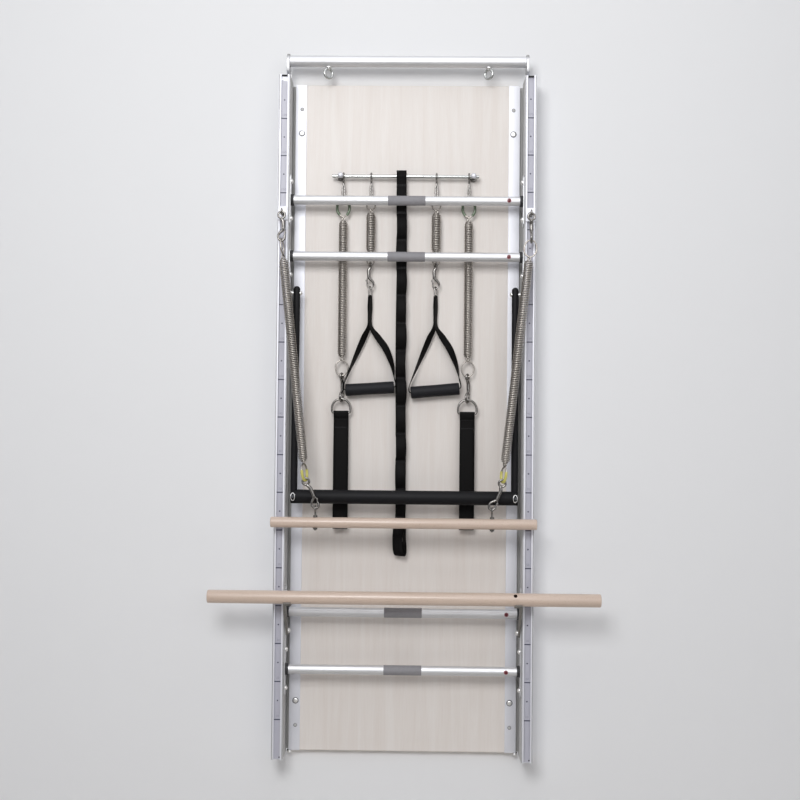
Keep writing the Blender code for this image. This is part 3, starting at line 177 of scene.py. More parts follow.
bpy.context.scene.view_settings.view_transform = "Standard"


# Back panel: one sheet of birch plywood, its face sanded and sealed with a thin matt lacquer.
# The face's grain runs up the board and is very pale; the plies show as bands round its edge.

PLY_THICKNESS = 0.0014
FACE_PALE, FACE_DEEP = "#e5e0dc", "#dcd4ce"
PLY_PALE, PLY_DEEP = "#d8c2a4", "#9c7b5a"

plywood, tree, shader = surface("birch_plywood", Roughness=0.5, Coat_Weight=0.15, Coat_Roughness=0.35)
place = add(tree, "ShaderNodeTexCoord")
stretched = add(tree, "ShaderNodeMapping", values={"Scale": (1.0, 1.0, 0.05)},
                links={0: place.outputs["Object"]})
figure = add(tree, "ShaderNodeTexNoise",
             values={"Scale": 42.0, "Detail": 5.0, "Roughness": 0.6, "Distortion": 0.7},
             links={"Vector": stretched.outputs[0]})
fibres = add(tree, "ShaderNodeTexNoise", values={"Scale": 520.0, "Detail": 3.0, "Roughness": 0.6},
             links={"Vector": stretched.outputs[0]})
blend = add(tree, "ShaderNodeMath", operation="MULTIPLY_ADD", values={1: 0.35},
            links={0: fibres.outputs["Fac"], 2: figure.outputs["Fac"]})
tone = add(tree, "ShaderNodeMapRange", values={"From Min": 0.45, "From Max": 0.95},
           links={"Value": blend.outputs[0]})
face = add(tree, "ShaderNodeMix", data_type="RGBA", values={6: paint(FACE_PALE), 7: paint(FACE_DEEP)},
           links={0: tone.outputs[0]})
depth = add(tree, "ShaderNodeSeparateXYZ", links={0: place.outputs["Object"]})
bands = add(tree, "ShaderNodeMath", operation="MULTIPLY", values={1: pi / PLY_THICKNESS},
            links={0: depth.outputs["Y"]})
bands = add(tree, "ShaderNodeMath", operation="SINE", links={0: bands.outputs[0]})
bands = add(tree, "ShaderNodeMapRange", values={"From Min": -0.3, "From Max": 0.3},
            links={"Value": bands.outputs[0]})
plies = add(tree, "ShaderNodeMix", data_type="RGBA", values={6: paint(PLY_PALE), 7: paint(PLY_DEEP)},
            links={0: bands.outputs[0]})
normal = add(tree, "ShaderNodeNewGeometry")
normal = add(tree, "ShaderNodeSeparateXYZ", links={0: normal.outputs["True Normal"]})
flat = add(tree, "ShaderNodeMath", operation="ABSOLUTE", links={0: normal.outputs["Y"]})
flat = add(tree, "ShaderNodeMath", operation="GREATER_THAN", values={1: 0.6}, links={0: flat.outputs[0]})
colour = add(tree, "ShaderNodeMix", data_type="RGBA",
             links={0: flat.outputs[0], 6: plies.outputs[2], 7: face.outputs[2]})
tree.links.new(colour.outputs[2], shader.inputs["Base Color"])
relief = add(tree, "ShaderNodeBump", values={"Strength": 0.12, "Distance": 0.0004},
             links={"Height": fibres.outputs["Fac"]})
tree.links.new(relief.outputs[0], shader.inputs["Normal"])


def give(node, look):
    """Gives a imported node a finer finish."""
    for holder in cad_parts[node].material_slots:
        holder.material = look


give("back_panel", plywood)


# Edge profiles: aluminium angles, drawn and anodised matt, that clamp the panel's long edges.
# Each has a capped wall bolt and a small screw near both its ends, all four through the wing.

# The die leaves fine lines up the metal, drawn 1.2 mm apart, coarser than real ones, so that they show.
DRAW_LINES, UP_THE_BOARD = 0.0012, (1.0, 1.0, 0.004)
WING_IN, WEB_IN, WEB_OUT, BASE_OUT = 0.2760, 0.3038, 0.3060, 0.3445
WING_FRONT, WING_BACK, BASE_FRONT = 0.0205, 0.0183, 0.0030
PANEL_HALF = 0.903
# Places across and up, and the head's radius. The knob under the profile's foot is given across and in depth.
WALL_BOLTS = (0.2885, 0.770, 0.0083)
PANEL_SCREWS = (0.2885, 0.836, 0.0050)
FOOT_KNOB = (0.3040, 0.0120)


def figured(tree, shader, share, colours, height=None, dulled=None, relief=None):
    """Lets a pattern run a finish. Its share, from 0 to 1, gives the colour between two paints. Its height,
    which is the share where none is given, gives the roughness within a range and a relief of (strength,
    distance)."""
    height = height or share
    tint = add(tree, "ShaderNodeMix", data_type="RGBA", values={6: paint(colours[0]), 7: paint(colours[1])},
               links={0: share})
    tree.links.new(tint.outputs[2], shader.inputs["Base Color"])
    if dulled:
        rough = add(tree, "ShaderNodeMapRange", values={"To Min": dulled[0], "To Max": dulled[1]},
                    links={"Value": height})
        tree.links.new(rough.outputs[0], shader.inputs["Roughness"])
    if relief:
        raised = add(tree, "ShaderNodeBump", values={"Strength": relief[0], "Distance": relief[1]},
                     links={"Height": height})
        tree.links.new(raised.outputs[0], shader.inputs["Normal"])


def clouded(name, colours, scale, detail=2.0, stretch=None, cloud=None, dulled=None, relief=None, **values):
    """A finish with a fine noise in it, of so many spots to the metre, stretched where the metal was drawn or
    brushed. A cloud is a second, wider noise, which then gives the colour."""
    made, tree, shader = surface(name, **values)
    place = add(tree, "ShaderNodeTexCoord").outputs["Object"]
    drawn = place
    if stretch:
        drawn = add(tree, "ShaderNodeMapping", values={"Scale": stretch}, links={0: place}).outputs[0]
    noise = add(tree, "ShaderNodeTexNoise", values={"Scale": scale, "Detail": detail}, links={"Vector": drawn})
    share = noise
    if cloud:
        share = add(tree, "ShaderNodeTexNoise", values={"Scale": cloud}, links={"Vector": place})
    figured(tree, shader, share.outputs["Fac"], colours, noise.outputs["Fac"], dulled, relief)
    return made


anodised = clouded("matt_anodised_aluminium", ("#d4d5db", "#e0e1e6"), 1 / DRAW_LINES, 3.0, UP_THE_BOARD,
                   cloud=9.0, dulled=(0.54, 0.66), relief=(0.08, 0.0002), Metallic=0.9)

# Dull grey aluminium: the small screws' and top pins' own grey, and painted shade on the rails' inner sides,
# in their edge grooves and in the channel behind them, darker there for the shadow in those narrow recesses.
grey_metal_and_painted_shade = clouded("dull_aluminium_and_painted_shade", ("#b4b4b3", "#c9c9c8"), 1 / DRAW_LINES, 3.0, UP_THE_BOARD,
               Metallic=0.7, Roughness=0.7)

# Nickel-plated steel: a warm grey mirror, clouded by handling, on rings, hooks, eye bolts and posts. Its tint
# is darker than bare nickel: painted reflection, standing for the dark room that these small parts mirror.
plated = clouded("nickel_plated_steel", ("#656360", "#989592"), 260.0, 4.0, dulled=(0.14, 0.32), Metallic=1.0)

# Stainless steel: turned and polished, nearly white, on bolt heads, studs and nuts.
stainless = clouded("polished_stainless_steel", ("#dededc", "#f2f2f1"), 420.0, 3.0, dulled=(0.24, 0.40),
                    Metallic=0.95)

# Chromed steel: a neutral bright grey, between the nickel's brown and the stainless white, on top eyes and rod.
chromed = clouded("chromed_steel", ("#aeb1af", "#cbcdcb"), 300.0, 3.0, dulled=(0.14, 0.28), Metallic=1.0)

# Dark steel, dull: a thin dark ring under the wing bolt heads and round the foot knobs, painted shade for the
# shadow round a domed head, and the push bar's dark bolt heads.
washer = clouded("dark_steel_painted_shade_ring", ("#4a4c50", "#64666b"), 700.0, 3.0, Metallic=0.6, Roughness=0.5)

TURNS = {"Z": Matrix.Identity(4), "-Z": Matrix.Rotation(pi, 4, "X"),
         "X": Matrix.Rotation(pi / 2, 4, "Y"), "-X": Matrix.Rotation(-pi / 2, 4, "Y"),
         "Y": Matrix.Rotation(-pi / 2, 4, "X"), "-Y": Matrix.Rotation(pi / 2, 4, "X")}


def piece_of(name, shape, looks, angle=None):
    """Links a built shape with its finishes. With an angle it is smooth, and only sharper edges stay sharp."""
    mesh = bpy.data.meshes.new(name)
    shape.to_mesh(mesh)
    shape.free()
    if angle:
        mesh.shade_smooth()
        mesh.set_sharp_from_angle(angle=radians(angle))
    return shown(name, mesh, looks)


def lathe(name, profile, look, axis="Z", at=(0, 0, 0), sides=40, turned=Matrix.Identity(4)):
    """Spins a profile of (radius, height) pairs and sets it in its place."""
    shape = bmesh.new()
    corners = [shape.verts.new((radius, 0, height)) for radius, height in profile]
    edges = [shape.edges.new(pair) for pair in zip(corners, corners[1:])]
    if profile[0][0] > 0 and profile[-1][0] > 0:
        edges.append(shape.edges.new((corners[-1], corners[0])))
    bmesh.ops.spin(shape, geom=corners + edges, cent=(0, 0, 0), axis=(0, 0, 1), angle=2 * pi, steps=sides)
    bmesh.ops.remove_doubles(shape, verts=shape.verts, dist=0.00001)
    bmesh.ops.transform(shape, matrix=Matrix.Translation(at) @ turned @ TURNS[axis], verts=shape.verts)
    bmesh.ops.recalc_face_normals(shape, faces=shape.faces)
    return piece_of(name, shape, [look], 38)


def rounded(radius, height, base, rings=7):
    """A dome's profile from its rim at base up to its top on the axis."""
    steps = [i * pi / 2 / rings for i in range(rings + 1)]
    return [(radius * cos(a) if i < rings else 0.0, base + height * sin(a)) for i, a in enumerate(steps)]


def new_tree(name, result, **sockets):
    """A node tree that makes a mesh, and its named inputs. An input's kind follows its name."""
    made = bpy.data.node_groups.new(name, "GeometryNodeTree")
    made.is_modifier = True
    for socket, kind in sockets.items():
        made.interface.new_socket(socket.replace("_", " "), in_out="INPUT", socket_type="NodeSocket" + kind)
    made.interface.new_socket(result, in_out="OUTPUT", socket_type="NodeSocketGeometry")
    return made, add(made, "NodeGroupInput").outputs


def end_tree(made, copies, look):
    """Every tree's end: its copies are made real and get their finish."""
    real = add(made, "GeometryNodeRealizeInstances", links={0: copies})
    finish = add(made, "GeometryNodeSetMaterial", links={"Geometry": real.outputs[0], "Material": look})
    add(made, "NodeGroupOutput", links={0: finish.outputs[0]})
    return made


def heads_tree():
    """Sets one head on every point, turned to the point's own direction and size."""
    made, given = new_tree("heads on points", "Pieces", Points="Geometry", Head="Object", Finish="Material")
    head = add(made, "GeometryNodeObjectInfo", links={"Object": given["Head"]})
    outward = add(made, "GeometryNodeInputNamedAttribute", values={"Name": "outward"}, data_type="FLOAT_VECTOR")
    size = add(made, "GeometryNodeInputNamedAttribute", values={"Name": "size"}, data_type="FLOAT")
    turned = add(made, "FunctionNodeAlignRotationToVector", axis="Z", links={"Vector": outward.outputs[0]})
    copies = add(made, "GeometryNodeInstanceOnPoints",
                 links={"Points": given["Points"], "Instance": head.outputs["Geometry"],
                        "Rotation": turned.outputs[0], "Scale": size.outputs[0]})
    return end_tree(made, copies.outputs[0], given["Finish"])


HEADS = heads_tree()


def run_tree(name, mesh, group, settings):
    """Runs a node tree on a mesh and keeps the result as a plain mesh."""
    made = shown(name, mesh, [])
    change = made.modifiers.new("shape", "NODES")
    change.node_group = group
    for item in group.interface.items_tree:
        if item.item_type == "SOCKET" and item.in_out == "INPUT" and item.name in settings:
            change[item.identifier] = settings[item.name]
    bpy.context.view_layer.update()
    graph = bpy.context.evaluated_depsgraph_get()
    result = bpy.data.meshes.new_from_object(made.evaluated_get(graph))
    made.modifiers.remove(change)
    made.data = result
    result.name = name
    return made


def pattern(name, profile, sides):
    """A head that is copied onto points and isn't itself in the scene."""
    made = lathe(name, profile, plated, sides=sides)
    bpy.context.collection.objects.unlink(made)
    return made


def bolts(name, head, points, body, look):
    """Heads at (place, direction, size), as one piece that rides on a body."""
    mesh = bpy.data.meshes.new(name)
    mesh.from_pydata([place for place, _, _ in points], [], [])
    mesh.attributes.new("outward", "FLOAT_VECTOR", "POINT")
    mesh.attributes.new("size", "FLOAT", "POINT")
    for index, (_, direction, scale) in enumerate(points):
        mesh.attributes["outward"].data[index].vector = direction
        mesh.attributes["size"].data[index].value = scale
    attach(run_tree(name, mesh, HEADS, {"Head": head, "Finish": look}), body)


# A pattern's profile is drawn for a head whose radius is 1.
CAP_HEAD = pattern("cap_head", [(0, 0.30), (0.40, 0.31), (0.70, 0.28), (0.79, 0.20), (0.82, 0.10),
                                (0.82, -0.02), (0, -0.02)], 36)
SHADE_RING_HEAD = pattern("washer", [(0.76, 0.02), (0.80, 0.13), (0.97, 0.13), (1.0, 0.09), (1.0, -0.02),
                            (0.76, -0.02)], 36)


def eased(outline, radius):
    """An outline with every corner rounded by the same radius, or by a third of its shorter side."""
    made = []
    for i, corner in enumerate(outline):
        corner = Vector(corner)
        before, after = Vector(outline[i - 1]) - corner, Vector(outline[(i + 1) % len(outline)]) - corner
        reach = min(radius, before.length / 3, after.length / 3)
        start, stop = corner + before.normalized() * reach, corner + after.normalized() * reach
        made += [tuple(start), tuple((start + stop) * 0.2 + corner * 0.6), tuple(stop)]
    return made


def drawn_out(shape, faces, way):
    """Gives flat faces their thickness."""
    grown = bmesh.ops.extrude_face_region(shape, geom=faces)
    moved = [item for item in grown["geom"] if isinstance(item, bmesh.types.BMVert)]
    bmesh.ops.translate(shape, verts=moved, vec=way)
    bmesh.ops.recalc_face_normals(shape, faces=shape.faces)


def extrusion(name, loops, low, high, looks, shade_regions):
    """Metal drawn through a die between two heights. The first loop of (x, depth) is outside, the others are
    hollow. Faces whose middle lies in a shade region of (x, x, depth, depth) take the second, darker finish as
    painted shade."""
    shape = bmesh.new()
    rims = []
    for loop in loops:
        corners = [shape.verts.new((x, -depth, low)) for x, depth in loop]
        rims += [shape.edges.new((corners[i - 1], corners[i])) for i in range(len(corners))]
    bmesh.ops.triangle_fill(shape, use_beauty=True, edges=rims, normal=(0, 0, 1))
    drawn_out(shape, shape.faces[:], (0, 0, high - low))
    for face in shape.faces:
        x, depth = abs(face.calc_center_median().x), -face.calc_center_median().y
        if abs(face.normal.z) < 0.5 and any(a < x < b and c < depth < d for a, b, c, d in shade_regions):
            face.material_index = 1
    return piece_of(name, shape, looks, 30)


def one_piece(name, parts):
    """Joins parts into one piece, each part keeping its finish."""
    with bpy.context.temp_override(active_object=parts[0], selected_editable_objects=parts):
        bpy.ops.object.join()
    parts[0].name = name
    return parts[0]


for side, label in SIDES:
    outline = [(WING_IN, WING_FRONT - 0.0004), (WING_IN + 0.0012, WING_FRONT), (WEB_OUT, WING_FRONT),
               (WEB_OUT, BASE_FRONT), (BASE_OUT, BASE_FRONT), (BASE_OUT, 0.0), (WEB_IN, 0.0),
               (WEB_IN, WING_BACK), (WING_IN, WING_BACK)]
    outline = eased([(side * x, depth) for x, depth in outline], 0.0005)
    # The channel floor behind the rail takes the darker metal: painted shade for the narrow channel.
    behind_rail = (WEB_OUT - 0.0008, BASE_OUT + 0.0055, 0.0004, WING_FRONT - 0.0004)
    profile = extrusion("drawn_profile_" + label, [outline], -PANEL_HALF, PANEL_HALF, [anodised, grey_metal_and_painted_shade],
                        [behind_rail])
    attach(profile, "board")
    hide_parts("edge_profile_" + label)
    spots = []
    for x, z, radius in (WALL_BOLTS, PANEL_SCREWS):
        spots += [((side * x, -WING_FRONT, up * z), (0, -1, 0), radius) for up in (-1, 1)]
    # A dark ring of painted shade under every head, for the shadow round it.
    bolts("wing_washers_" + label, SHADE_RING_HEAD, spots, "board", washer)
    bolts("wing_bolt_caps_" + label, CAP_HEAD, spots[:2], "board", stainless)
    bolts("wing_screw_caps_" + label, CAP_HEAD, spots[2:], "board", grey_metal_and_painted_shade)
    spot = (side * FOOT_KNOB[0], -FOOT_KNOB[1], -PANEL_HALF)
    foot = [(0, 0.0018), (0.0066, 0.0018), (0.0072, 0.0026), (0.0072, 0.0068), (0.0060, 0.0080), (0, 0.0080)]
    knob = lathe("knob", foot, stainless, "-Z", spot)
    # A dark ring of painted shade round the knob's foot.
    ring = lathe("ring", [(0, 0), (0.0064, 0), (0.0064, 0.0020), (0, 0.0020)], washer, "-Z", spot)
    knob = one_piece("foot_knob_" + label, [knob, ring])
    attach(knob, "board")


# Rails: hollow aluminium extrusions with a wide slot down the front, fine grooves beside it and a T-slot in
# the inner side. A printed scale tape lies on the front slot's floor, with a line every 100 mm, a dot half
# way and a plain number over each line. A black rubber stop closes each slot at the top.

RAIL_MIDDLE, RAIL_IN, RAIL_OUT = 0.3295, 0.3145, 0.3445
RAIL_BACK, RAIL_FRONT, RAIL_HALF = 0.0033, 0.0938, 0.911
RAIL_WALL, CORE_BACK, CORE_FRONT = 0.0042, 0.0075, 0.0535
MOUTH_HALF, LIP, SLOT_HALF, SLOT_DEEP = 0.00825, 0.0025, 0.0111, 0.0080
GROOVE_FLOOR = RAIL_FRONT - 0.0034
# The rail's two sides, as (distance in from the side, depth). The inner one runs from back to front, with a
# shallow groove, the T-slot, another groove and an edge groove. The outer one runs back again, with its edge
# groove and one shallow groove.
INNER_SIDE = ((0, RAIL_BACK), (0, 0.0300), (0.0012, 0.0304), (0.0012, 0.0312), (0, 0.0316), (0, 0.0660),
              (0.0025, 0.0660), (0.0025, 0.0630), (0.0075, 0.0630), (0.0075, 0.0770), (0.0025, 0.0770),
              (0.0025, 0.0740), (0, 0.0740), (0, 0.0876), (0.0016, 0.0880), (0.0016, 0.0890), (0, 0.0894),
              (0, RAIL_FRONT), (0.0006, RAIL_FRONT), (0.0007, GROOVE_FLOOR), (0.0021, GROOVE_FLOOR),
              (0.0022, RAIL_FRONT))
OUTER_SIDE = ((0.0026, RAIL_FRONT), (0.0025, GROOVE_FLOOR), (0.0010, GROOVE_FLOOR), (0.0009, RAIL_FRONT),
              (0, RAIL_FRONT), (0, 0.0500), (0.0012, 0.0496), (0.0012, 0.0484), (0, 0.0480), (0, RAIL_BACK))
# Painted shade: the inner side and the two grooves along the front edges take the darker metal, for the shadow
# in them.
RAIL_PAINTED_SHADE = ((RAIL_IN - 0.0003, RAIL_IN + 0.0080, 0.0020, 0.0932),
             (RAIL_IN + 0.0005, RAIL_IN + 0.0023, 0.0895, 0.0935),
             (RAIL_OUT - 0.0028, RAIL_OUT - 0.0007, 0.0895, 0.0935))
TAPE_WIDTH, TAPE_THICK, TAPE_FOOT, TAPE_FACE = 0.0205, 0.00018, -0.9095, 0.0860
# Each tape's top, how much its corner is cut off, and its first line.
TAPES = {"left": (0.8985, 0.006, 0.7937), "right": (0.9070, 0.0, 0.7990)}
LINE_STEP, LINE_COUNT, LINE_WIDE, LINE_TALL, DOT_RADIUS = 0.1, 17, 0.0186, 0.0031, 0.0021
FILM, FILM_OUT, NUMBER_FILM, NUMBER_OUT = 0.0001, 0.00003, 0.00004, 0.00005
RIVET_ASIDE, RIVET_Z, RIVET_RADIUS = 0.0062, -0.9052, 0.0023
STOP_Z, STOP_HEIGHT, STOP_HALF, STOP_BACK, STOP_FRONT = 0.9090, 0.0030, 0.0081, 0.0861, 0.0932

tape = clouded("printed_polyester_tape", ("#b4b4c0", "#bebec9"), 35.0, 3.0, Roughness=0.5, Coat_Weight=0.25,
               Coat_Roughness=0.3)

# Screen-printing ink: a dark blue-grey, thin and slightly uneven on the tape.
ink = clouded("screen_ink", ("#3c3d4e", "#525367"), 900.0, Roughness=0.5)

# Black rubber: moulded EPDM, dull and faintly dusty, on stops, collars and caps.
rubber = clouded("moulded_black_rubber", ("#19191b", "#2b2b2e"), 700.0, 4.0, relief=(0.2, 0.0002),
                 Roughness=0.62)


def block(name, low, high, look, edge=0.0):
    """A block between two corners with rounded edges."""
    shape = bmesh.new()
    bmesh.ops.create_cube(shape, size=1.0)
    low, high = Vector(low), Vector(high)
    bmesh.ops.scale(shape, verts=shape.verts, vec=high - low)
    bmesh.ops.translate(shape, verts=shape.verts, vec=(low + high) / 2)
    if edge:
        bmesh.ops.bevel(shape, geom=shape.edges[:], offset=edge, segments=3, affect="EDGES", profile=0.5)
    return piece_of(name, shape, [look])


def marks_tree():
    """A column of lines with a dot half a step above each, printed on a tape."""
    made, given = new_tree("scale marks", "Marks", Tape="Geometry", Line_Width="Float", Line_Height="Float",
                           Dot_Radius="Float", Step="Float", Film="Float", First="Vector", Count="Int",
                           Ink="Material")
    down = add(made, "ShaderNodeMath", operation="MULTIPLY", values={1: -1.0}, links={0: given["Step"]})
    step = add(made, "ShaderNodeCombineXYZ", links={2: down.outputs[0]})
    column = add(made, "GeometryNodeMeshLine",
                 links={"Count": given["Count"], "Start Location": given["First"], "Offset": step.outputs[0]})
    size = add(made, "ShaderNodeCombineXYZ", links={0: given["Line Width"], 1: given["Film"],
                                                    2: given["Line Height"]})
    line = add(made, "GeometryNodeMeshCube", links={"Size": size.outputs[0]})
    dot = add(made, "GeometryNodeMeshCylinder", values={"Vertices": 14},
              links={"Radius": given["Dot Radius"], "Depth": given["Film"]})
    half = add(made, "ShaderNodeVectorMath", operation="SCALE", values={"Scale": -0.5},
               links={0: step.outputs[0]})
    dot = add(made, "GeometryNodeTransform", values={"Rotation": (pi / 2, 0, 0)},
              links={"Geometry": dot.outputs[0], "Translation": half.outputs[0]})
    both = add(made, "GeometryNodeJoinGeometry", links={0: line.outputs[0]})
    made.links.new(dot.outputs[0], both.inputs[0])
    copies = add(made, "GeometryNodeInstanceOnPoints",
                 links={"Points": column.outputs[0], "Instance": both.outputs[0]})
    return end_tree(made, copies.outputs[0], given["Ink"])


MARKS = marks_tree()

# The numbers are printed much paler than the lines, so that they show only from near by.
faint_ink = clouded("faint_screen_ink", ("#8a8a9a", "#9c9cab"), 900.0, Roughness=0.5)
NUMBER_TALL, NUMBER_OVER = 0.0062, 0.0065


def number_of(value, x, z):
    """A printed number as a thin mesh, its middle over its line."""
    words = bpy.data.curves.new("number", "FONT")
    words.body, words.size, words.align_x = str(value), NUMBER_TALL * 1.4, "CENTER"
    words.extrude, words.resolution_u = NUMBER_FILM, 2
    holder = bpy.data.objects.new("number", words)
    bpy.context.collection.objects.link(holder)
    bpy.context.view_layer.update()
    mesh = bpy.data.meshes.new_from_object(holder.evaluated_get(bpy.context.evaluated_depsgraph_get()))
    bpy.data.objects.remove(holder, do_unlink=True)
    mesh.transform(Matrix.Translation((x, -TAPE_FACE - NUMBER_OUT, z)) @ Matrix.Rotation(pi / 2, 4, "X"))
    mesh.materials.clear()
    return shown("number", mesh, [faint_ink])


for side, label in SIDES:
    middle = side * RAIL_MIDDLE
    tape_top, cut_corner, first_line = TAPES[label]
    slot = [(-MOUTH_HALF, RAIL_FRONT), (-MOUTH_HALF, RAIL_FRONT - LIP), (-SLOT_HALF, RAIL_FRONT - LIP),
            (-SLOT_HALF, RAIL_FRONT - SLOT_DEEP)]
    slot += [(-x, depth) for x, depth in reversed(slot)]
    outline = [(RAIL_IN + x, depth) for x, depth in INNER_SIDE]
    outline += [(RAIL_MIDDLE + x, depth) for x, depth in slot]
    outline += [(RAIL_OUT - x, depth) for x, depth in OUTER_SIDE]
    core = [(RAIL_IN + RAIL_WALL, CORE_BACK), (RAIL_OUT - RAIL_WALL, CORE_BACK),
            (RAIL_OUT - RAIL_WALL, CORE_FRONT), (RAIL_IN + RAIL_WALL, CORE_FRONT)]
    loops = [eased([(side * x, depth) for x, depth in loop], 0.0003) for loop in (outline, core)]
    rail = extrusion("drawn_rail_" + label, loops, -RAIL_HALF, RAIL_HALF, [anodised, grey_metal_and_painted_shade], RAIL_PAINTED_SHADE)
    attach(rail, "board")
    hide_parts("rail_" + label)
    printed = [number_of(10 * (LINE_COUNT - count), middle, first_line - LINE_STEP * count + NUMBER_OVER)
               for count in range(LINE_COUNT)]
    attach(one_piece("scale_numbers_" + label, printed), "board")
    strip = block("scale_tape_" + label, (middle - TAPE_WIDTH / 2, -TAPE_FACE, TAPE_FOOT),
                  (middle + TAPE_WIDTH / 2, -TAPE_FACE + TAPE_THICK, tape_top), tape)
    for corner in strip.data.vertices:
        if corner.co.z > 0 and corner.co.x > middle:
            corner.co.z -= cut_corner
    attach(strip, "board")
    marks = run_tree("scale_marks_" + label, bpy.data.meshes.new("marks"), MARKS,
                     {"Line Width": LINE_WIDE, "Line Height": LINE_TALL, "Dot Radius": DOT_RADIUS,
                      "Step": LINE_STEP, "Film": FILM, "First": (middle, -TAPE_FACE - FILM_OUT, first_line),
                      "Count": LINE_COUNT, "Ink": ink})
    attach(marks, "board")
    rivet = ((middle + RIVET_ASIDE, -TAPE_FACE, RIVET_Z), (0, -1, 0), RIVET_RADIUS)
    bolts("tape_foot_rivet_" + label, CAP_HEAD, [rivet], "board", rubber)
    stop = block("slot_stop_" + label, (middle - STOP_HALF, -STOP_FRONT, STOP_Z - STOP_HEIGHT / 2),
                 (middle + STOP_HALF, -STOP_BACK, STOP_Z + STOP_HEIGHT / 2), rubber, 0.0008)
    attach(stop, "board")


# Uprights: flat aluminium bars with round tops. Their tongues stand inside the rails, and a ringed screw
# down through each top pins the bar between them. The faces are brushed and the edges broken with a file.

UPRIGHT_FACE, UPRIGHT_THICK = 0.3190, 0.0080
UPRIGHT_BACK, UPRIGHT_FRONT, UPRIGHT_FOOT = 0.0078, 0.0478, 0.791
TOP_BAR_Z, TOP_BAR_DEPTH = 0.9568, 0.058
HEAD_RISE, HEAD_HALF, KNOB_TOP = 0.0150, 0.0195, 0.9763

brushed = clouded("brushed_aluminium", ("#c2c3c5", "#d4d5d7"), 1500.0, 3.0, (0.02, 1.0, 1.0),
                  dulled=(0.40, 0.56), Metallic=0.9)


def bar_stock(name, outline, low, high, look, edge=0.0006):
    """Flat stock cut to an outline of (depth, z) pairs, between two X places, with broken edges."""
    shape = bmesh.new()
    face = shape.faces.new([shape.verts.new((low, -depth, z)) for depth, z in outline])
    drawn_out(shape, [face], (high - low, 0, 0))
    rims = [rim for rim in shape.edges if abs(rim.verts[0].co.x - rim.verts[1].co.x) < 1e-7]
    bmesh.ops.bevel(shape, geom=rims, offset=edge, segments=2, affect="EDGES", profile=0.5)
    return piece_of(name, shape, [look], 25)


SOCKET_HEAD = pattern("domed_head", [(0, 0.62)] + [(0.34, 0.62), (0.36, 0.84), (0.42, 0.90)]
                      + [(1.04 * cos(a), 0.94 * sin(a)) for a in (radians(d) for d in (66, 52, 38, 24, 10))]
                      + [(1.04, 0.0), (1.04, -0.05), (0, -0.05)], 24)

for side, label in SIDES:
    outline = [(UPRIGHT_BACK, UPRIGHT_FOOT), (UPRIGHT_BACK, 0.915), (UPRIGHT_BACK + 0.004, 0.921)]
    outline += [(TOP_BAR_DEPTH + HEAD_HALF * cos(radians(a)), TOP_BAR_Z + HEAD_RISE * sin(radians(a)))
                for a in range(180, -1, -9)]
    outline += [(0.0775, 0.936), (0.074, 0.927), (UPRIGHT_FRONT + 0.006, 0.918), (UPRIGHT_FRONT, 0.914),
                (UPRIGHT_FRONT, UPRIGHT_FOOT)]
    piece = bar_stock("top_upright_plate_" + label, outline, side * UPRIGHT_FACE,
                      side * (UPRIGHT_FACE + UPRIGHT_THICK), brushed)
    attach(piece, "board")
    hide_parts("top_upright_" + label)
    rise = KNOB_TOP - TOP_BAR_Z - HEAD_RISE
    profile = [(0, -0.0030), (0.0034, -0.0030), (0.0034, 0.0002), (0.0040, 0.0006)]
    profile += [(0.0043 - 0.0004 * (step % 2), 0.0008 + (rise - 0.0014) * step / 6) for step in range(7)]
    profile += [(0.0038, rise), (0.0014, rise), (0.0012, rise - 0.0010), (0, rise - 0.0010)]
    knob = lathe("top_pin_screw_" + label, profile, grey_metal_and_painted_shade, "Z",
                 (side * (UPRIGHT_FACE + UPRIGHT_THICK / 2), -TOP_BAR_DEPTH, TOP_BAR_Z + HEAD_RISE), 28)
    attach(knob, "board")


# Top bar: a 30 mm aluminium tube between the uprights, anodised satin. Two forged eye bolts hang from it,
# each with a shoulder nut under the tube.

satin = clouded("satin_anodised_tube", ("#d3d4d7", "#dfe0e2"), 1100.0, 3.0, (0.01, 1.0, 1.0), cloud=12.0,
                dulled=(0.44, 0.56), Metallic=0.9)


def wire_tree():
    """A round wire along a path. Each point's own thickness scales the wire there."""
    made, given = new_tree("wire along a path", "Wire", Path="Geometry", Radius="Float", Sides="Int",
                           Finish="Material")
    line = add(made, "GeometryNodeMeshToCurve", links={"Mesh": given["Path"]})
    ring = add(made, "GeometryNodeCurvePrimitiveCircle",
               links={"Resolution": given["Sides"], "Radius": given["Radius"]})
    thickness = add(made, "GeometryNodeInputNamedAttribute", values={"Name": "thickness"}, data_type="FLOAT")
    skin = add(made, "GeometryNodeCurveToMesh", values={"Fill Caps": True},
               links={"Curve": line.outputs[0], "Profile Curve": ring.outputs[0],
                      "Scale": thickness.outputs[0]})
    smoothed = add(made, "GeometryNodeSetShadeSmooth", links={0: skin.outputs[0]})
    return end_tree(made, smoothed.outputs[0], given["Finish"])


WIRE = wire_tree()


def closed(route):
    """A route brought back to its own start, so that its wire is a ring."""
    return route + [(route[0][0].copy(), route[0][1])]


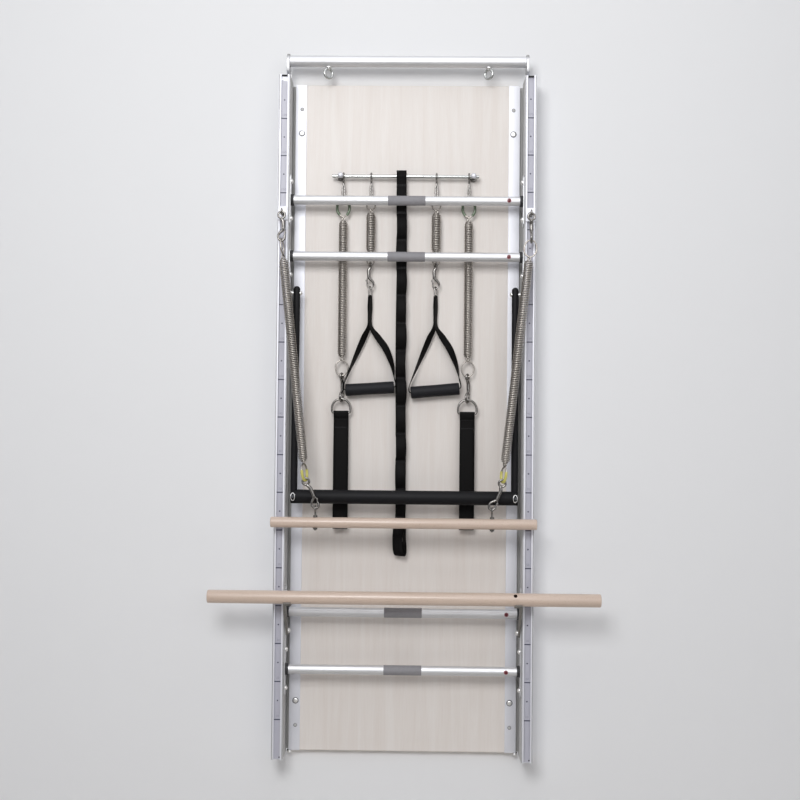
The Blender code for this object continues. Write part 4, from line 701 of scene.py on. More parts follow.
def bent_wire(name, routes, radius, look, sides):
    """Round wire along routes of (point, thickness). A route that ends where it starts is a ring."""
    places, edges, thicknesses = [], [], []
    for route in routes:
        is_ring = (Vector(route[0][0]) - Vector(route[-1][0])).length < 1e-7
        if is_ring:
            route = route[:-1]
        first = len(places)
        places += [tuple(point) for point, _ in route]
        thicknesses += [thickness for _, thickness in route]
        edges += [(first + i, first + i + 1) for i in range(len(route) - 1)]
        if is_ring:
            edges.append((first + len(route) - 1, first))
    mesh = bpy.data.meshes.new(name)
    mesh.from_pydata(places, edges, [])
    own = mesh.attributes.new("thickness", "FLOAT", "POINT")
    for index, thickness in enumerate(thicknesses):
        own.data[index].value = thickness
    return run_tree(name, mesh, WIRE, {"Radius": radius, "Sides": sides, "Finish": look})


def ring_route(middle, radius, first, second, steps):
    """A closed circle in the plane of two directions."""
    return closed([(Vector(middle) + Vector(first) * radius * cos(2 * pi * i / steps)
                    + Vector(second) * radius * sin(2 * pi * i / steps), 1.0) for i in range(steps)])


def mirrored(profile):
    """A profile from one end to the middle, and the same back to the other end."""
    return profile + [(radius, -height) for radius, height in reversed(profile) if height]


TUBE_HALF, TUBE_RADIUS = UPRIGHT_FACE - 0.0003, 0.015
TOP_EYES = {"left": (-0.2150, 0.9240, radians(36)), "right": (0.2180, 0.9240, radians(-38))}
TOP_EYE_RADIUS, TOP_EYE_WIRE = 0.0124, 0.0035

profile = [(TUBE_RADIUS - 0.0025, -TUBE_HALF), (TUBE_RADIUS - 0.0004, -TUBE_HALF),
           (TUBE_RADIUS, -TUBE_HALF + 0.0004)]
tube = lathe("top_bar_tube", mirrored(profile), satin, "X", (0, -TOP_BAR_DEPTH, TOP_BAR_Z), 64)
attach(tube, "board")
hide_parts("top_bar")

for side, label in SIDES:
    x, z, turn = TOP_EYES[label]
    route = ring_route((x, -TOP_BAR_DEPTH, z), TOP_EYE_RADIUS, (cos(turn), sin(turn), 0), (0, 0, 1), 40)
    eye = bent_wire("eye", [route], TOP_EYE_WIRE, chromed, 14)
    neck = lathe("neck", [(0, 0.0010), (0.0080, 0.0010), (0.0086, 0.0002), (0.0086, -0.0026), (0.0078, -0.0036),
                          (0.0046, -0.0042), (0.0036, -0.0074), (0, -0.0074)],
                 stainless, "Z", (x, -TOP_BAR_DEPTH, TOP_BAR_Z - TUBE_RADIUS), 28)
    eye = one_piece("top_eye_bolt_" + label, [eye, neck])
    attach(eye, "board")


# Hole plates: aluminium strips bolted into the rails' inner side slots with domed socket bolts. Their
# holes are 50 mm apart, and bars, cradles, studs and bolts take them all.

PLATE_FACE, PLATE_THICK, PLATE_HALF, PLATE_DEPTH, PLATE_CORNER = 0.3112, 0.003, 0.014, 0.070, 0.006
# Each row's top, bottom, bolts and studs.
PLATE_ROWS = {
    "hole_plate_top_": (0.6460, 0.5090, (0.6275, 0.5275), ()),
    "hole_plate_pivot_": (0.4450, 0.3080, (0.3765,), (0.3265,)),
    "hole_plate_low_": (-0.4555, -0.7445, (-0.474, -0.624, -0.726), ()),
}
PLATE_BOLT, ARM_GAP = 0.0066, 0.0003
PUSH_ARM = (0.2925, 0.0092)
INWARD = {-1: "X", 1: "-X"}

for side, label in SIDES:
    for start, (top, bottom, places, studs) in PLATE_ROWS.items():
        near, far, cut = PLATE_DEPTH - PLATE_HALF, PLATE_DEPTH + PLATE_HALF, PLATE_CORNER
        outline = [(near, bottom + cut), (near, top - cut), (near + cut, top), (far - cut, top),
                   (far, top - cut), (far, bottom + cut), (far - cut, bottom), (near + cut, bottom)]
        piece = bar_stock(start + "strip_" + label, outline, side * PLATE_FACE,
                          side * (PLATE_FACE + PLATE_THICK), brushed, 0.0005)
        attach(piece, "board")
        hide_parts(start + label)
        spots = [((side * PLATE_FACE, -PLATE_DEPTH, z), (-side, 0, 0), PLATE_BOLT) for z in places]
        bolts(start + "bolts_" + label, SOCKET_HEAD, spots, "board", stainless)
        for z in studs:
            spacer = PLATE_FACE - PUSH_ARM[0] - PUSH_ARM[1] - ARM_GAP
            nut = PLATE_FACE - PUSH_ARM[0] + PUSH_ARM[1] + ARM_GAP
            profile = [(0, -0.0005), (0.0060, -0.0005), (0.0060, spacer), (0.0040, spacer), (0.0040, nut),
                       (0.0062, nut)] + rounded(0.0062, 0.0052, nut)[1:]
            stud = lathe("push_bar_stud_" + label, profile, stainless, INWARD[side],
                         (side * PLATE_FACE, -PLATE_DEPTH, z), 28)
            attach(stud, "board")


# Cross bars: satin aluminium tubes with a black rubber collar at both ends, a grey rubber grip sleeve in
# the middle and a red release button near the right end, pushed in to take the bar out.

CROSS_BARS = (0.5775, 0.4265, -0.524, -0.676)
COLLAR_END, BUTTON_X, CROSS_DEPTH = 0.3109, 0.274, 0.070
BAR_BORE, BAR_RADIUS, SLEEVE_HALF = 0.0105, 0.0125, 0.050
BUTTON_RADIUS, BUTTON_SEAT, BUTTON_SHOULDER = 0.0040, 0.0080, 0.0136

# Grey thermoplastic grip: soft, matt, with a fine moulded rib round the bar every 2 mm.
grip_grey, tree, shader = surface("grey_ribbed_grip", Roughness=0.6)
place = add(tree, "ShaderNodeTexCoord")
spots = add(tree, "ShaderNodeTexNoise", values={"Scale": 120.0, "Detail": 3.0},
            links={"Vector": place.outputs["Object"]})
ribs = add(tree, "ShaderNodeTexWave", wave_type="BANDS", bands_direction="X", values={"Scale": 160.0},
           links={"Vector": place.outputs["Object"]})
figured(tree, shader, spots.outputs["Fac"], ("#848387", "#939296"), ribs.outputs["Fac"], relief=(0.3, 0.0004))

# Red ABS: moulded and glossy, a brownish dark red on the button and a paler red on the ring round it.
red_abs = clouded("moulded_red_abs", ("#551218", "#6e1f27"), 800.0, Roughness=0.32, Coat_Weight=0.2)
pale_red = clouded("pale_red_ring_abs", ("#96454f", "#ab5c66"), 800.0, Roughness=0.4, Coat_Weight=0.2)

for number, z in enumerate(CROSS_BARS, start=1):
    spot = (0, -CROSS_DEPTH, z)
    profile = mirrored([(BAR_BORE, -COLLAR_END), (BAR_RADIUS, -COLLAR_END)])
    tube = lathe("cross_bar_tube_" + str(number), profile, satin, "X", spot, 56)
    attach(tube, "board")
    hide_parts("cross_bar_" + str(number))
    for side, label in SIDES:
        rim = [(0.0126, 0), (0.0150, 0), (0.0155, 0.0006), (0.0155, 0.0066), (0.0148, 0.0078), (0.0134, 0.0080),
               (0.0126, 0.0080)]
        collar = lathe("collar_%d_%s" % (number, label), rim, rubber, INWARD[side],
                       (side * COLLAR_END, -CROSS_DEPTH, z), 44)
        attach(collar, "board")
    profile = [(0.0126, -SLEEVE_HALF), (0.0128, -SLEEVE_HALF - 0.0002), (0.0131, -SLEEVE_HALF + 0.0006)]
    sleeve = lathe("grip_sleeve_" + str(number), mirrored(profile), grip_grey, "X", spot, 56)
    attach(sleeve, "board")
    spot = (BUTTON_X, -CROSS_DEPTH, z)
    cap = [(0, BUTTON_SEAT), (BUTTON_RADIUS, BUTTON_SEAT), (BUTTON_RADIUS, BUTTON_SHOULDER)]
    cap += rounded(BUTTON_RADIUS, 0.0013, BUTTON_SHOULDER, 5)[1:]
    button = lathe("release_button_cap_" + str(number), cap, red_abs, "-Y", spot, 28)
    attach(button, "button_" + str(number))
    rim = lathe("release_button_rim_" + str(number),
                [(0.0043, 0.0121), (0.0056, 0.0121), (0.0056, 0.0132), (0.0052, BUTTON_SHOULDER),
                 (0.0043, BUTTON_SHOULDER)],
                pale_red, "-Y", spot, 28)
    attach(rim, "board")
    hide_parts("release_button_" + str(number))


# Push-through bar: two powder-coated steel arms that swing on studs, and a thick tube between their feet.
# A bolt in a bright saddle ring shows on the front at both the tube's ends.

# The pivot's depth and height, and the tube's depth, height, radius and half length.
PUSH_PIVOT = (0.070, 0.3265)
PUSH_TUBE = (0.090, -0.2165, 0.0185, 0.3005)
PUSH_FALL, PUSH_LEAN = 0.543, 0.020
ARM_ABOVE, ARM_TURN = 0.0193, atan2(PUSH_LEAN, PUSH_FALL)
SADDLE_X, SADDLE_WIDE, SADDLE_TALL, SADDLE_WIRE, SADDLE_BOLT = 0.2935, 0.0052, 0.0100, 0.0010, 0.0036

powder = clouded("black_powder_coat", ("#101012", "#18181b"), 420.0, 4.0, relief=(0.25, 0.0002), Roughness=0.55,
                 Specular_IOR_Level=0.18)

reach = hypot(PUSH_FALL, PUSH_LEAN) + 0.006
straight = ARM_ABOVE - PUSH_ARM[1]
tube_depth, tube_z, tube_radius, tube_half = PUSH_TUBE
profile = [(0, -tube_half + 0.001), (0.009, -tube_half + 0.001), (0.0095, -tube_half),
           (tube_radius - 0.002, -tube_half), (tube_radius - 0.0006, -tube_half + 0.0006),
           (tube_radius, -tube_half + 0.002)]
parts = [lathe("tube", mirrored(profile), powder, "X", (0, -tube_depth, tube_z), 64)]
for side, label in SIDES:
    top = rounded(PUSH_ARM[1], PUSH_ARM[1], straight)
    foot = [(r, -reach - (z - straight) * 0.6) for r, z in reversed(top)]
    parts.append(lathe("arm", foot + top, powder, "Z", (side * PUSH_ARM[0], -PUSH_PIVOT[0], PUSH_PIVOT[1]), 36,
                       Matrix.Rotation(-ARM_TURN, 4, "X")))
push = one_piece("push_bar_frame", parts)
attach(push, "push_bar")
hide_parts("push_through_bar")
saddles, spots = [], []
for side, label in SIDES:
    route = []
    for a in (2 * pi * step / 32 for step in range(32)):
        rise = SADDLE_TALL * sin(a)
        out = (tube_radius ** 2 - rise ** 2) ** 0.5
        route.append((Vector((side * SADDLE_X + SADDLE_WIDE * cos(a), -tube_depth - out, tube_z + rise)), 1.0))
    saddles.append(bent_wire("saddle", [closed(route)], SADDLE_WIRE, stainless, 10))
    spots.append(((side * SADDLE_X, -tube_depth - tube_radius + 0.0003, tube_z), (0, -1, 0), SADDLE_BOLT))
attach(one_piece("push_bar_saddles", saddles), "push_bar")
bolts("push_bar_bolts", SOCKET_HEAD, spots, "push_bar", washer)


# Hanger rod: chromed steel, 10 mm, on two turned standoffs screwed to the panel, with ball heads in front.
# Springs and straps hang on it by their snap hooks.

# The rod's radius, height and depth, and its two ends.
ROD = (0.005, 0.649, 0.040)
ROD_LEFT, ROD_RIGHT = -0.203, 0.195
STANDOFF_X, PANEL_FACE = 0.180, 0.0183

profile = [(0, ROD_LEFT), (0.0043, ROD_LEFT), (ROD[0], ROD_LEFT + 0.0007), (ROD[0], ROD_RIGHT - 0.0007),
           (0.0043, ROD_RIGHT), (0, ROD_RIGHT)]
parts = [lathe("rod", profile, chromed, "X", (0, -ROD[2], ROD[1]), 36)]
foot = ROD[2] - PANEL_FACE
post = [(0, -foot), (0.0098, -foot), (0.010, -foot + 0.0004), (0.010, -foot + 0.0024), (0.0092, -foot + 0.003),
        (0.0046, -foot + 0.0036), (0.0042, -foot + 0.005), (0.0042, 0.0078), (0, 0.0078)]
ball = [(0.0078 * sin(radians(a)), 0.0130 - 0.0064 * cos(radians(a))) for a in range(15, 180, 15)]
ball = [(0, 0.0066)] + ball + [(0, 0.0194)]
for side, label in SIDES:
    spot = (side * STANDOFF_X, -ROD[2], ROD[1])
    parts.append(lathe("post", post, plated, "-Y", spot, 32))
    parts.append(lathe("ball", ball, anodised, "-Y", spot, 32))
rod = one_piece("hanger_rod_on_posts", parts)
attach(rod, "board")
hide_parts("hanger_rod")


# Snap hooks: forged steel, nickel plated and worn grey, with an eye for the spring's loop, a thick shank and
# a round hook of 6 mm stock. A thin sprung gate with a thumb stud closes the hook's mouth. The four on the
# rod are lighter: a slotted link under a plain hook.

WIRE_RADIUS, LINK_WIRE_RADIUS, PACKED_WIRE = 0.0031, 0.0026, 0.0020
EYE_RADIUS, LINK_HALF, HOOK_FOOT = 0.0072, 0.0030, 0.012
# Each outline gives (aside, above the foot, thickness), a gate (aside, above), a stud (aside, above, radius).
HOOK_OUTLINE = ((-0.0044, 0.0340, 1.45), (-0.0042, 0.0300, 1.35), (-0.0012, 0.0258, 1.2), (0.0048, 0.0205, 1.1),
                (0.0084, 0.0145, 1.0), (0.0082, 0.0078, 1.0), (0.0048, 0.0018, 1.0), (0.0, 0.0, 1.05),
                (-0.0046, 0.0016, 1.0), (-0.0078, 0.0066, 0.95), (-0.0082, 0.0112, 0.9), (-0.0074, 0.0146, 0.8))
LINK_OUTLINE = ((0.0, 0.0300, 1.1), (0.0004, 0.0245, 1.0), (0.0030, 0.0200, 1.0), (0.0072, 0.0152, 1.0),
                (0.0090, 0.0098, 1.0), (0.0074, 0.0044, 1.0), (0.0038, 0.0011, 1.0), (0.0, 0.0, 1.0),
                (-0.0040, 0.0014, 1.0), (-0.0070, 0.0048, 1.0), (-0.0080, 0.0092, 0.95), (-0.0070, 0.0132, 0.9))
HOOK_GATE = ((-0.0066, 0.0300), (-0.0086, 0.0240), (-0.0088, 0.0185), (-0.0078, 0.0140))
LINK_GATE = ((-0.0018, 0.0262), (-0.0034, 0.0215), (-0.0056, 0.0170), (-0.0072, 0.0138))
HOOK_STUD, LINK_STUD = (-0.0106, 0.0210, 0.0023), (-0.0052, 0.0205, 0.0016)


def smooth(points, per, ring=False):
    """A smooth line through (point, thickness) pairs, in so many steps from each to the next."""
    made = []
    count = len(points)
    spans = count if ring else count - 1
    for i in range(spans):
        around = []
        for j in (i - 1, i, i + 1, i + 2):
            around.append(points[j % count] if ring else points[min(max(j, 0), count - 1)])
        for step in range(per):
            t = step / per
            weights = (-0.5 * t + t * t - 0.5 * t ** 3, 1 - 2.5 * t * t + 1.5 * t ** 3,
                       0.5 * t + 2 * t * t - 1.5 * t ** 3, -0.5 * t * t + 0.5 * t ** 3)
            place = sum((Vector(p) * w for (p, _), w in zip(around, weights)), Vector())
            made.append((place, sum(k * w for (_, k), w in zip(around, weights))))
    made.append((Vector(points[0 if ring else -1][0]), points[0 if ring else -1][1]))
    return made


def square_to(way, along):
    """A direction of length 1, with what runs along another one taken out."""
    return (Vector(way) - Vector(way).dot(along) * along).normalized()


def snap_hook(name, top, foot, body, node, eye_plane, hook_plane, bulge=1, linked=False, eye_radius=EYE_RADIUS,
              slim=1.0):
    """A snap hook from its eye's top to its hook's foot. A plane is the direction that its ring is wide in.
    A slim one is thinner round its foot, where a ring swings on it."""
    top, foot = Vector(top), Vector(foot)
    down = (foot - top).normalized()
    gauge = LINK_WIRE_RADIUS if linked else WIRE_RADIUS
    outline, latch, (stud_aside, stud_rise, size) = ((LINK_OUTLINE, LINK_GATE, LINK_STUD) if linked
                                                     else (HOOK_OUTLINE, HOOK_GATE, HOOK_STUD))
    top, foot = top - down * (gauge - PACKED_WIRE), foot + down * (gauge * slim - PACKED_WIRE)
    wide, across = square_to(hook_plane, down), square_to(eye_plane, down)
    hook = [(foot - down * rise + wide * (side * bulge), thick * (slim if rise < HOOK_FOOT else 1.0))
            for side, rise, thick in outline]
    if linked:
        reach = (hook[0][0] - top).length
        link = [(top + down * (reach * 0.5) + across * (LINK_HALF * cos(a)) + down * (reach * 0.5 * sin(a)),
                 0.85) for a in (2 * pi * i / 32 for i in range(32))]
        routes = [closed(link), smooth(hook, 5)]
    else:
        eye_middle = top + down * eye_radius
        eye = [(eye_middle + across * (eye_radius * cos(a)) + down * (eye_radius * sin(a)), 0.95)
               for a in (radians(92 + 356 * i / 32) for i in range(33))]
        stem = top + down * (2 * eye_radius)
        shank = hook[0][0].lerp(hook[0][0] - down * (hook[0][0] - stem).dot(down), 0.62)
        stem = [(stem - down * 0.0012, 0.9), (stem + down * 0.0020, 1.3), (shank, 1.5)]
        routes = [eye, smooth(stem + hook, 5)]
    parts = [bent_wire("hook", routes, gauge, plated, 12)]
    gate = [(foot - down * rise + wide * (side * bulge), 0.6) for side, rise in latch]
    parts.append(bent_wire("gate", [smooth(gate, 4)], gauge, plated, 10))
    ball = [(0, -size)] + [(size * cos(radians(a)), size * sin(radians(a))) for a in range(-60, 61, 20)]
    parts.append(lathe("knob", ball + [(0, size)], plated, "Z",
                       tuple(foot - down * stud_rise + wide * (stud_aside * bulge)), 16))
    made = one_piece(name, parts)
    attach(made, body)
    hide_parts(node)


# Springs: hard-drawn spring steel wire, 3.3 mm, wound nearly close and oiled. Each is one wire: it leaves the
# coil through a short shoulder, crosses itself at the neck and comes round as a hand-bent, heart-shaped loop.

SPRING_WIRE, PACKED_SPRING_WIRE = 0.00165, 0.0015
SPRING_PITCH, TURN_STEPS = 0.0047, 14
LOOP_THICK, HOSE_RADIUS = 1.3, 0.0029

oiled = clouded("oiled_spring_steel", ("#918b84", "#c3beb8"), 240.0, 4.0, dulled=(0.24, 0.42), Metallic=1.0)

# Clear coloured PVC hose: slipped over a loop so that hook and wire don't squeak or scratch.
HOSE = {"Roughness": 0.35, "Coat_Weight": 0.3, "Transmission_Weight": 0.15}
green_hose = clouded("green_pvc_hose", ("#566650", "#768a6e"), 200.0, **HOSE)
yellow_hose = clouded("yellow_pvc_hose", ("#d0c95c", "#e2dd84"), 200.0, **HOSE)


def loop_route(end, inward, wide, radius, length):
    """The end loop, as points from its tail round and back to the coil's axis."""
    side = [(0.55, 0.765), (0.90, 0.62), (1.0, 0.45), (0.88, 0.22), (0.48, 0.045)]
    flat = [(0.0026, length * 0.985), (0.0034, length * 0.925)]
    flat += [(0.0, length * 0.86)] + [(-radius * x, length * y) for x, y in side] + [(0.0, 0.0)]
    flat += [(radius * x, length * y) for x, y in reversed(side)] + [(0.0, length * 0.86)]
    flat += [(-0.0028, length * 0.935), (-0.0016, length)]
    beside = Vector(inward).cross(Vector(wide))
    lift = [1.3, 1.4, 1.35, 0.6, 0.1, 0, 0, 0, 0, 0, 0, 0, -0.1, -0.6, -1.35, -1.4, -1.2]
    return [(Vector(end) + Vector(wide) * x + Vector(inward) * y + beside * (SPRING_WIRE * k), LOOP_THICK)
            for (x, y), k in zip(flat, lift)]


def spring(name, top, foot, radius, loops, planes, body, node, hoses=(None, None)):
    """A spring between the outer ends of its two loops, each loop given as (radius, length). The planes are the
    directions its loops are wide in."""
    top, foot = Vector(top), Vector(foot)
    down = (foot - top).normalized()
    spare = SPRING_WIRE * LOOP_THICK - PACKED_SPRING_WIRE
    top, foot = top - down * spare, foot + down * spare
    across = Vector((0, 1, 0)).cross(down).normalized()
    beside = down.cross(across)
    upper = smooth(loop_route(top, down, square_to(planes[0], down), *loops[0]), 5)
    lower = smooth(loop_route(foot, -down, square_to(planes[1], down), *loops[1]), 5)
    length = (foot - top).length - loops[0][1] - loops[1][1]
    turns = round(length / SPRING_PITCH)
    middle = []
    for step in range(turns * TURN_STEPS + 1):
        share = step / (turns * TURN_STEPS)
        grow = min(1.0, 0.30 + share * turns / 3.6, 0.30 + (1 - share) * turns / 3.6)
        out = (radius - SPRING_WIRE) * sin(grow * pi / 2)
        angle = 2 * pi * step / TURN_STEPS
        middle.append((top + down * (loops[0][1] + length * share) + across * (out * cos(angle))
                       + beside * (out * sin(angle)), 1.0))
    route = upper[:-1] + middle + list(reversed(lower[:-1]))
    made = bent_wire(name, [route], SPRING_WIRE, oiled, 8)
    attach(made, body)
    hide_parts(node)
    for hose, loop, word, first in zip(hoses, (upper, lower), ("upper", "lower"), (15, 22)):
        if hose is not None:
            sleeve = bent_wire(name + "_hose_" + word, [loop[first:-first]], HOSE_RADIUS, hose, 14)
            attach(sleeve, body)


# Webbing: flat woven polyester strap, black, with a rib across it every 1.6 mm and heavier selvedges.
# Loops are sewn with black thread, four stitches to the centimetre. A strap clears its ring by the link gap.

RIB, YARN, LINK_GAP = 0.0016, 0.0022, 0.0003
STITCH, STITCH_STEP, STITCH_OUT, THREAD_RADIUS = 0.0018, 0.0025, 0.0001, 0.00035

strap_black, tree, shader = surface("black_polyester_webbing", Roughness=0.6, Specular_IOR_Level=0.1)
own = add(tree, "ShaderNodeUVMap", uv_map="UVMap")
split = add(tree, "ShaderNodeSeparateXYZ", links={0: own.outputs[0]})
along = add(tree, "ShaderNodeMath", operation="MULTIPLY", values={1: 2 * pi / RIB},
            links={0: split.outputs["Y"]})
along = add(tree, "ShaderNodeMath", operation="SINE", links={0: along.outputs[0]})
over = add(tree, "ShaderNodeMath", operation="MULTIPLY", values={1: 2 * pi / YARN},
           links={0: split.outputs["X"]})
over = add(tree, "ShaderNodeMath", operation="SINE", links={0: over.outputs[0]})
weave = add(tree, "ShaderNodeMath", operation="MULTIPLY_ADD", values={1: 0.5},
            links={0: over.outputs[0], 2: along.outputs[0]})
level = add(tree, "ShaderNodeMapRange", values={"From Min": -1.5, "From Max": 1.5},
            links={"Value": weave.outputs[0]})
figured(tree, shader, level.outputs[0], ("#050404", "#0c0b0b"), relief=(0.35, 0.0003))

# Bonded polyester thread: black, rounder and shinier than the strap, so the stitches catch the light.
thread = clouded("bonded_black_thread", ("#151416", "#242326"), 2500.0, Roughness=0.45)

# The strap's section from its right edge round, as shares of its half width and half thickness.
STRAP_SECTION = ((1, 0.35), (0.965, 1), (0.5, 1), (0, 1), (-0.5, 1), (-0.965, 1), (-1, 0.35), (-1, -0.35),
                 (-0.965, -1), (-0.5, -1), (0, -1), (0.5, -1), (0.965, -1), (1, -0.35))


def band(name, sections, look):
    """An endless strap through sections of (middle, direction across it, width, thickness). Its UV is in
    metres."""
    middles = smooth([(Vector(middle), 1.0) for middle, _, _, _ in sections], 4, True)[:-1]
    sides = smooth([(Vector(across), width) for _, across, width, _ in sections], 4, True)[:-1]
    thick = smooth([(Vector((deep, 0, 0)), 1.0) for _, _, _, deep in sections], 4, True)[:-1]
    shape = bmesh.new()
    uv = shape.loops.layers.uv.new("UVMap")
    rings, lengths, run = [], [], 0.0
    total, wrap = len(middles), len(STRAP_SECTION)
    for i, (middle, _) in enumerate(middles):
        ahead = (middles[(i + 1) % total][0] - middles[i - 1][0]).normalized()
        side = square_to(sides[i][0], ahead)
        out = ahead.cross(side)
        half, deep = sides[i][1] / 2, thick[i][0].x / 2
        rings.append([(shape.verts.new(middle + side * (a * half) + out * (b * deep)), a * half)
                      for a, b in STRAP_SECTION])
        if i:
            run += (middle - middles[i - 1][0]).length
        lengths.append(run)
    whole = run + (middles[0][0] - middles[-1][0]).length
    for i in range(total):
        j = (i + 1) % total
        near, far = lengths[i], lengths[j] if j else whole
        for corner in range(wrap):
            turned = (corner + 1) % wrap
            spots = ((*rings[i][corner], near), (*rings[i][turned], near), (*rings[j][turned], far),
                     (*rings[j][corner], far))
            face = shape.faces.new([place for place, _, _ in spots])
            for loop, (_, across, along) in zip(face.loops, spots):
                loop[uv].uv = across, along
    bmesh.ops.recalc_face_normals(shape, faces=shape.faces)
    return piece_of(name, shape, [look], 60)


def stitch_tree():
    """Short stitches along every path, each lying along it."""
    made, given = new_tree("stitches along a path", "Stitches", Path="Geometry", Spacing="Float",
                           Stitch_Length="Float", Thread_Radius="Float", Thread="Material")
    line = add(made, "GeometryNodeMeshToCurve", links={"Mesh": given["Path"]})
    spots = add(made, "GeometryNodeCurveToPoints", mode="LENGTH",
                links={"Curve": line.outputs[0], "Length": given["Spacing"]})
    stitch = add(made, "GeometryNodeMeshCylinder", values={"Vertices": 6},
                 links={"Radius": given["Thread Radius"], "Depth": given["Stitch Length"]})
    turned = add(made, "FunctionNodeAlignRotationToVector", axis="Z",
                 links={"Vector": spots.outputs["Tangent"]})
    copies = add(made, "GeometryNodeInstanceOnPoints",
                 links={"Points": spots.outputs[0], "Instance": stitch.outputs[0],
                        "Rotation": turned.outputs[0]})
    return end_tree(made, copies.outputs[0], given["Thread"])


STITCHES = stitch_tree()


def stitches(name, lines, body):
    """Stitches along straight or bent lines of points."""
    places, edges = [], []
    for line in lines:
        first = len(places)
        places += [tuple(p) for p in line]
        edges += [(first + i, first + i + 1) for i in range(len(line) - 1)]
    mesh = bpy.data.meshes.new(name)
    mesh.from_pydata(places, edges, [])
    made = run_tree(name, mesh, STITCHES, {"Spacing": STITCH_STEP, "Stitch Length": STITCH,
                                           "Thread Radius": THREAD_RADIUS, "Thread": thread})
    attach(made, body)


# Leg sets: a snap hook over the rod, a long spring with green hose on its upper loop, a second snap hook,
# a welded D-ring and a foot strap of 38 mm webbing, sewn below the ring.

LEG_X = {"left": -0.172, "right": 0.168}
ROD_SNAP_TOP, ROD_SNAP_FOOT = 0.6563, 0.586
LEG_SPRING = (0.0120, ((0.0167, 0.062), (0.0165, 0.050)), 0.5898, 0.1085)
LEG_SNAP = (0.1123, 0.0395)
LEG_SNAP_TURN = {"left": radians(22), "right": radians(30)}
D_RING_WIRE, PACKED_RING_WIRE = 0.0030, 0.0025
D_RING_TOP, D_RING_HALF, D_RING_TALL = 0.0443, 0.025, 0.038
STRAP_TALL, STRAP_SPREAD, STRAP_SEWN, STRAP_WIDE, STRAP_THICK = 0.312, 0.0058, 0.0019, 0.040, 0.0028

for side, label in SIDES:
    x, y, body = LEG_X[label], -ROD[2], "leg_" + label
    snap_hook("leg_rod_hook_" + label, (x, y, ROD_SNAP_FOOT), (x, y, ROD_SNAP_TOP), body,
              "leg_rod_snap_" + label, (1, 0, 0), (0, 1, 0), 1, True)
    radius, loops, top, foot = LEG_SPRING
    spring("leg_spring_coil_" + label, (x, y, top), (x, y, foot), radius, loops,
           ((1, 0, 0), (1, 0, 0)), body, "leg_spring_" + label, (green_hose, None))
    turned = (sin(LEG_SNAP_TURN[label]), cos(LEG_SNAP_TURN[label]), 0)
    snap_hook("leg_foot_hook_" + label, (x, y, LEG_SNAP[0]), (x, y, LEG_SNAP[1]), body,
              "leg_foot_snap_" + label, turned, turned, -1)
    top = D_RING_TOP + D_RING_WIRE - PACKED_RING_WIRE
    low = top - D_RING_TALL
    ring = [(D_RING_HALF * cos(radians(a)), top - D_RING_HALF + D_RING_HALF * sin(radians(a)))
            for a in range(0, 181, 9)]
    corner = [(D_RING_HALF, low + 0.006), (D_RING_HALF - 0.0018, low + 0.0018), (D_RING_HALF - 0.006, low)]
    ring += [(-aside, z) for aside, z in corner] + corner[::-1]
    ring = closed([(Vector((x + aside, y, z)), 1.0) for aside, z in ring])
    ring = bent_wire("d_ring_" + label, [ring], D_RING_WIRE, plated, 16)
    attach(ring, body)
    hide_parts("foot_ring_" + label)
    half = STRAP_THICK / 2
    bend = D_RING_WIRE + LINK_GAP + half
    bottom = -STRAP_TALL + STRAP_SPREAD + half
    front = [(0.0038, -0.010), (STRAP_SEWN, -0.017), (STRAP_SEWN, -0.040), (0.0040, -0.075),
             (STRAP_SPREAD, -0.130), (STRAP_SPREAD, bottom + 0.06), (STRAP_SPREAD * 1.02, bottom + 0.02)]
    line = [(bend * cos(radians(a)), bend * sin(radians(a))) for a in range(180, -1, -30)] + front
    line += [(STRAP_SPREAD * cos(radians(a)), bottom + STRAP_SPREAD * sin(radians(a)))
             for a in range(0, -181, -36)]
    line += [(-out, z) for out, z in reversed(front)]
    sections = [((x, y + d, low + z), (1, 0, 0), STRAP_WIDE, STRAP_THICK) for d, z in line]
    strap = band("foot_band_" + label, sections, strap_black)
    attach(strap, body)
    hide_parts("foot_strap_" + label)
    face = y - STRAP_SEWN - half - STITCH_OUT
    left, right = x - 0.0165, x + 0.0165
    seams = [[(left, face, low - drop), (right, face, low - drop)] for drop in (0.0165, 0.0380, 0.0400)]
    stitches("foot_band_stitches_" + label, seams, body)


# Arm sets: a snap hook over the rod, a short spring, a snap hook and a handle of 20 mm webbing with a foam
# grip. The webbing runs through the grip and both its ends are sewn round a small steel ring.

ARM_X = {"left": -0.097, "right": 0.080}
ARM_SPRING = (0.0130, ((0.0115, 0.040), (0.0110, 0.034)), 0.5898, 0.409)
ARM_SNAP = (0.4128, 0.3445)
# Each handle's shift aside, its grip's drop below the hinge and tilt, and how far its two legs bow out.
HANDLES = {"left": (0.0015, 0.2715, radians(3.9), (0.0, 0.013)),
           "right": (0.0008, 0.2755, radians(5.2), (0.0, 0.010))}
# The ring's wire, width, height, rise above the hinge, and the degrees it is turned.
HANDLE_RING = (0.0018, 0.015, 0.026, 0.0046, 66)
GRIP_LENGTH, GRIP_RADIUS = 0.131, 0.0163
HAND_WIDE, HAND_THICK, HAND_SPLIT = 0.020, 0.0022, 0.100
# The webbing's width on the ring and just below it, the share of a leg's bow at each share of its length, and
# the degrees each leg is turned on its way down.
HAND_ON_RING, HAND_UNDER_RING = 0.0098, 0.017
HAND_BOWS = ((0.0, 0.0), (0.2, 0.35), (0.42, 1.0), (0.7, 0.85), (0.93, 0.12))
HAND_TURNS = {-1: (44, 52, 74), 1: (30, 24, 58)}
HANDLE_EYE_RADIUS, HANDLE_SLIM = 0.0056, 0.66

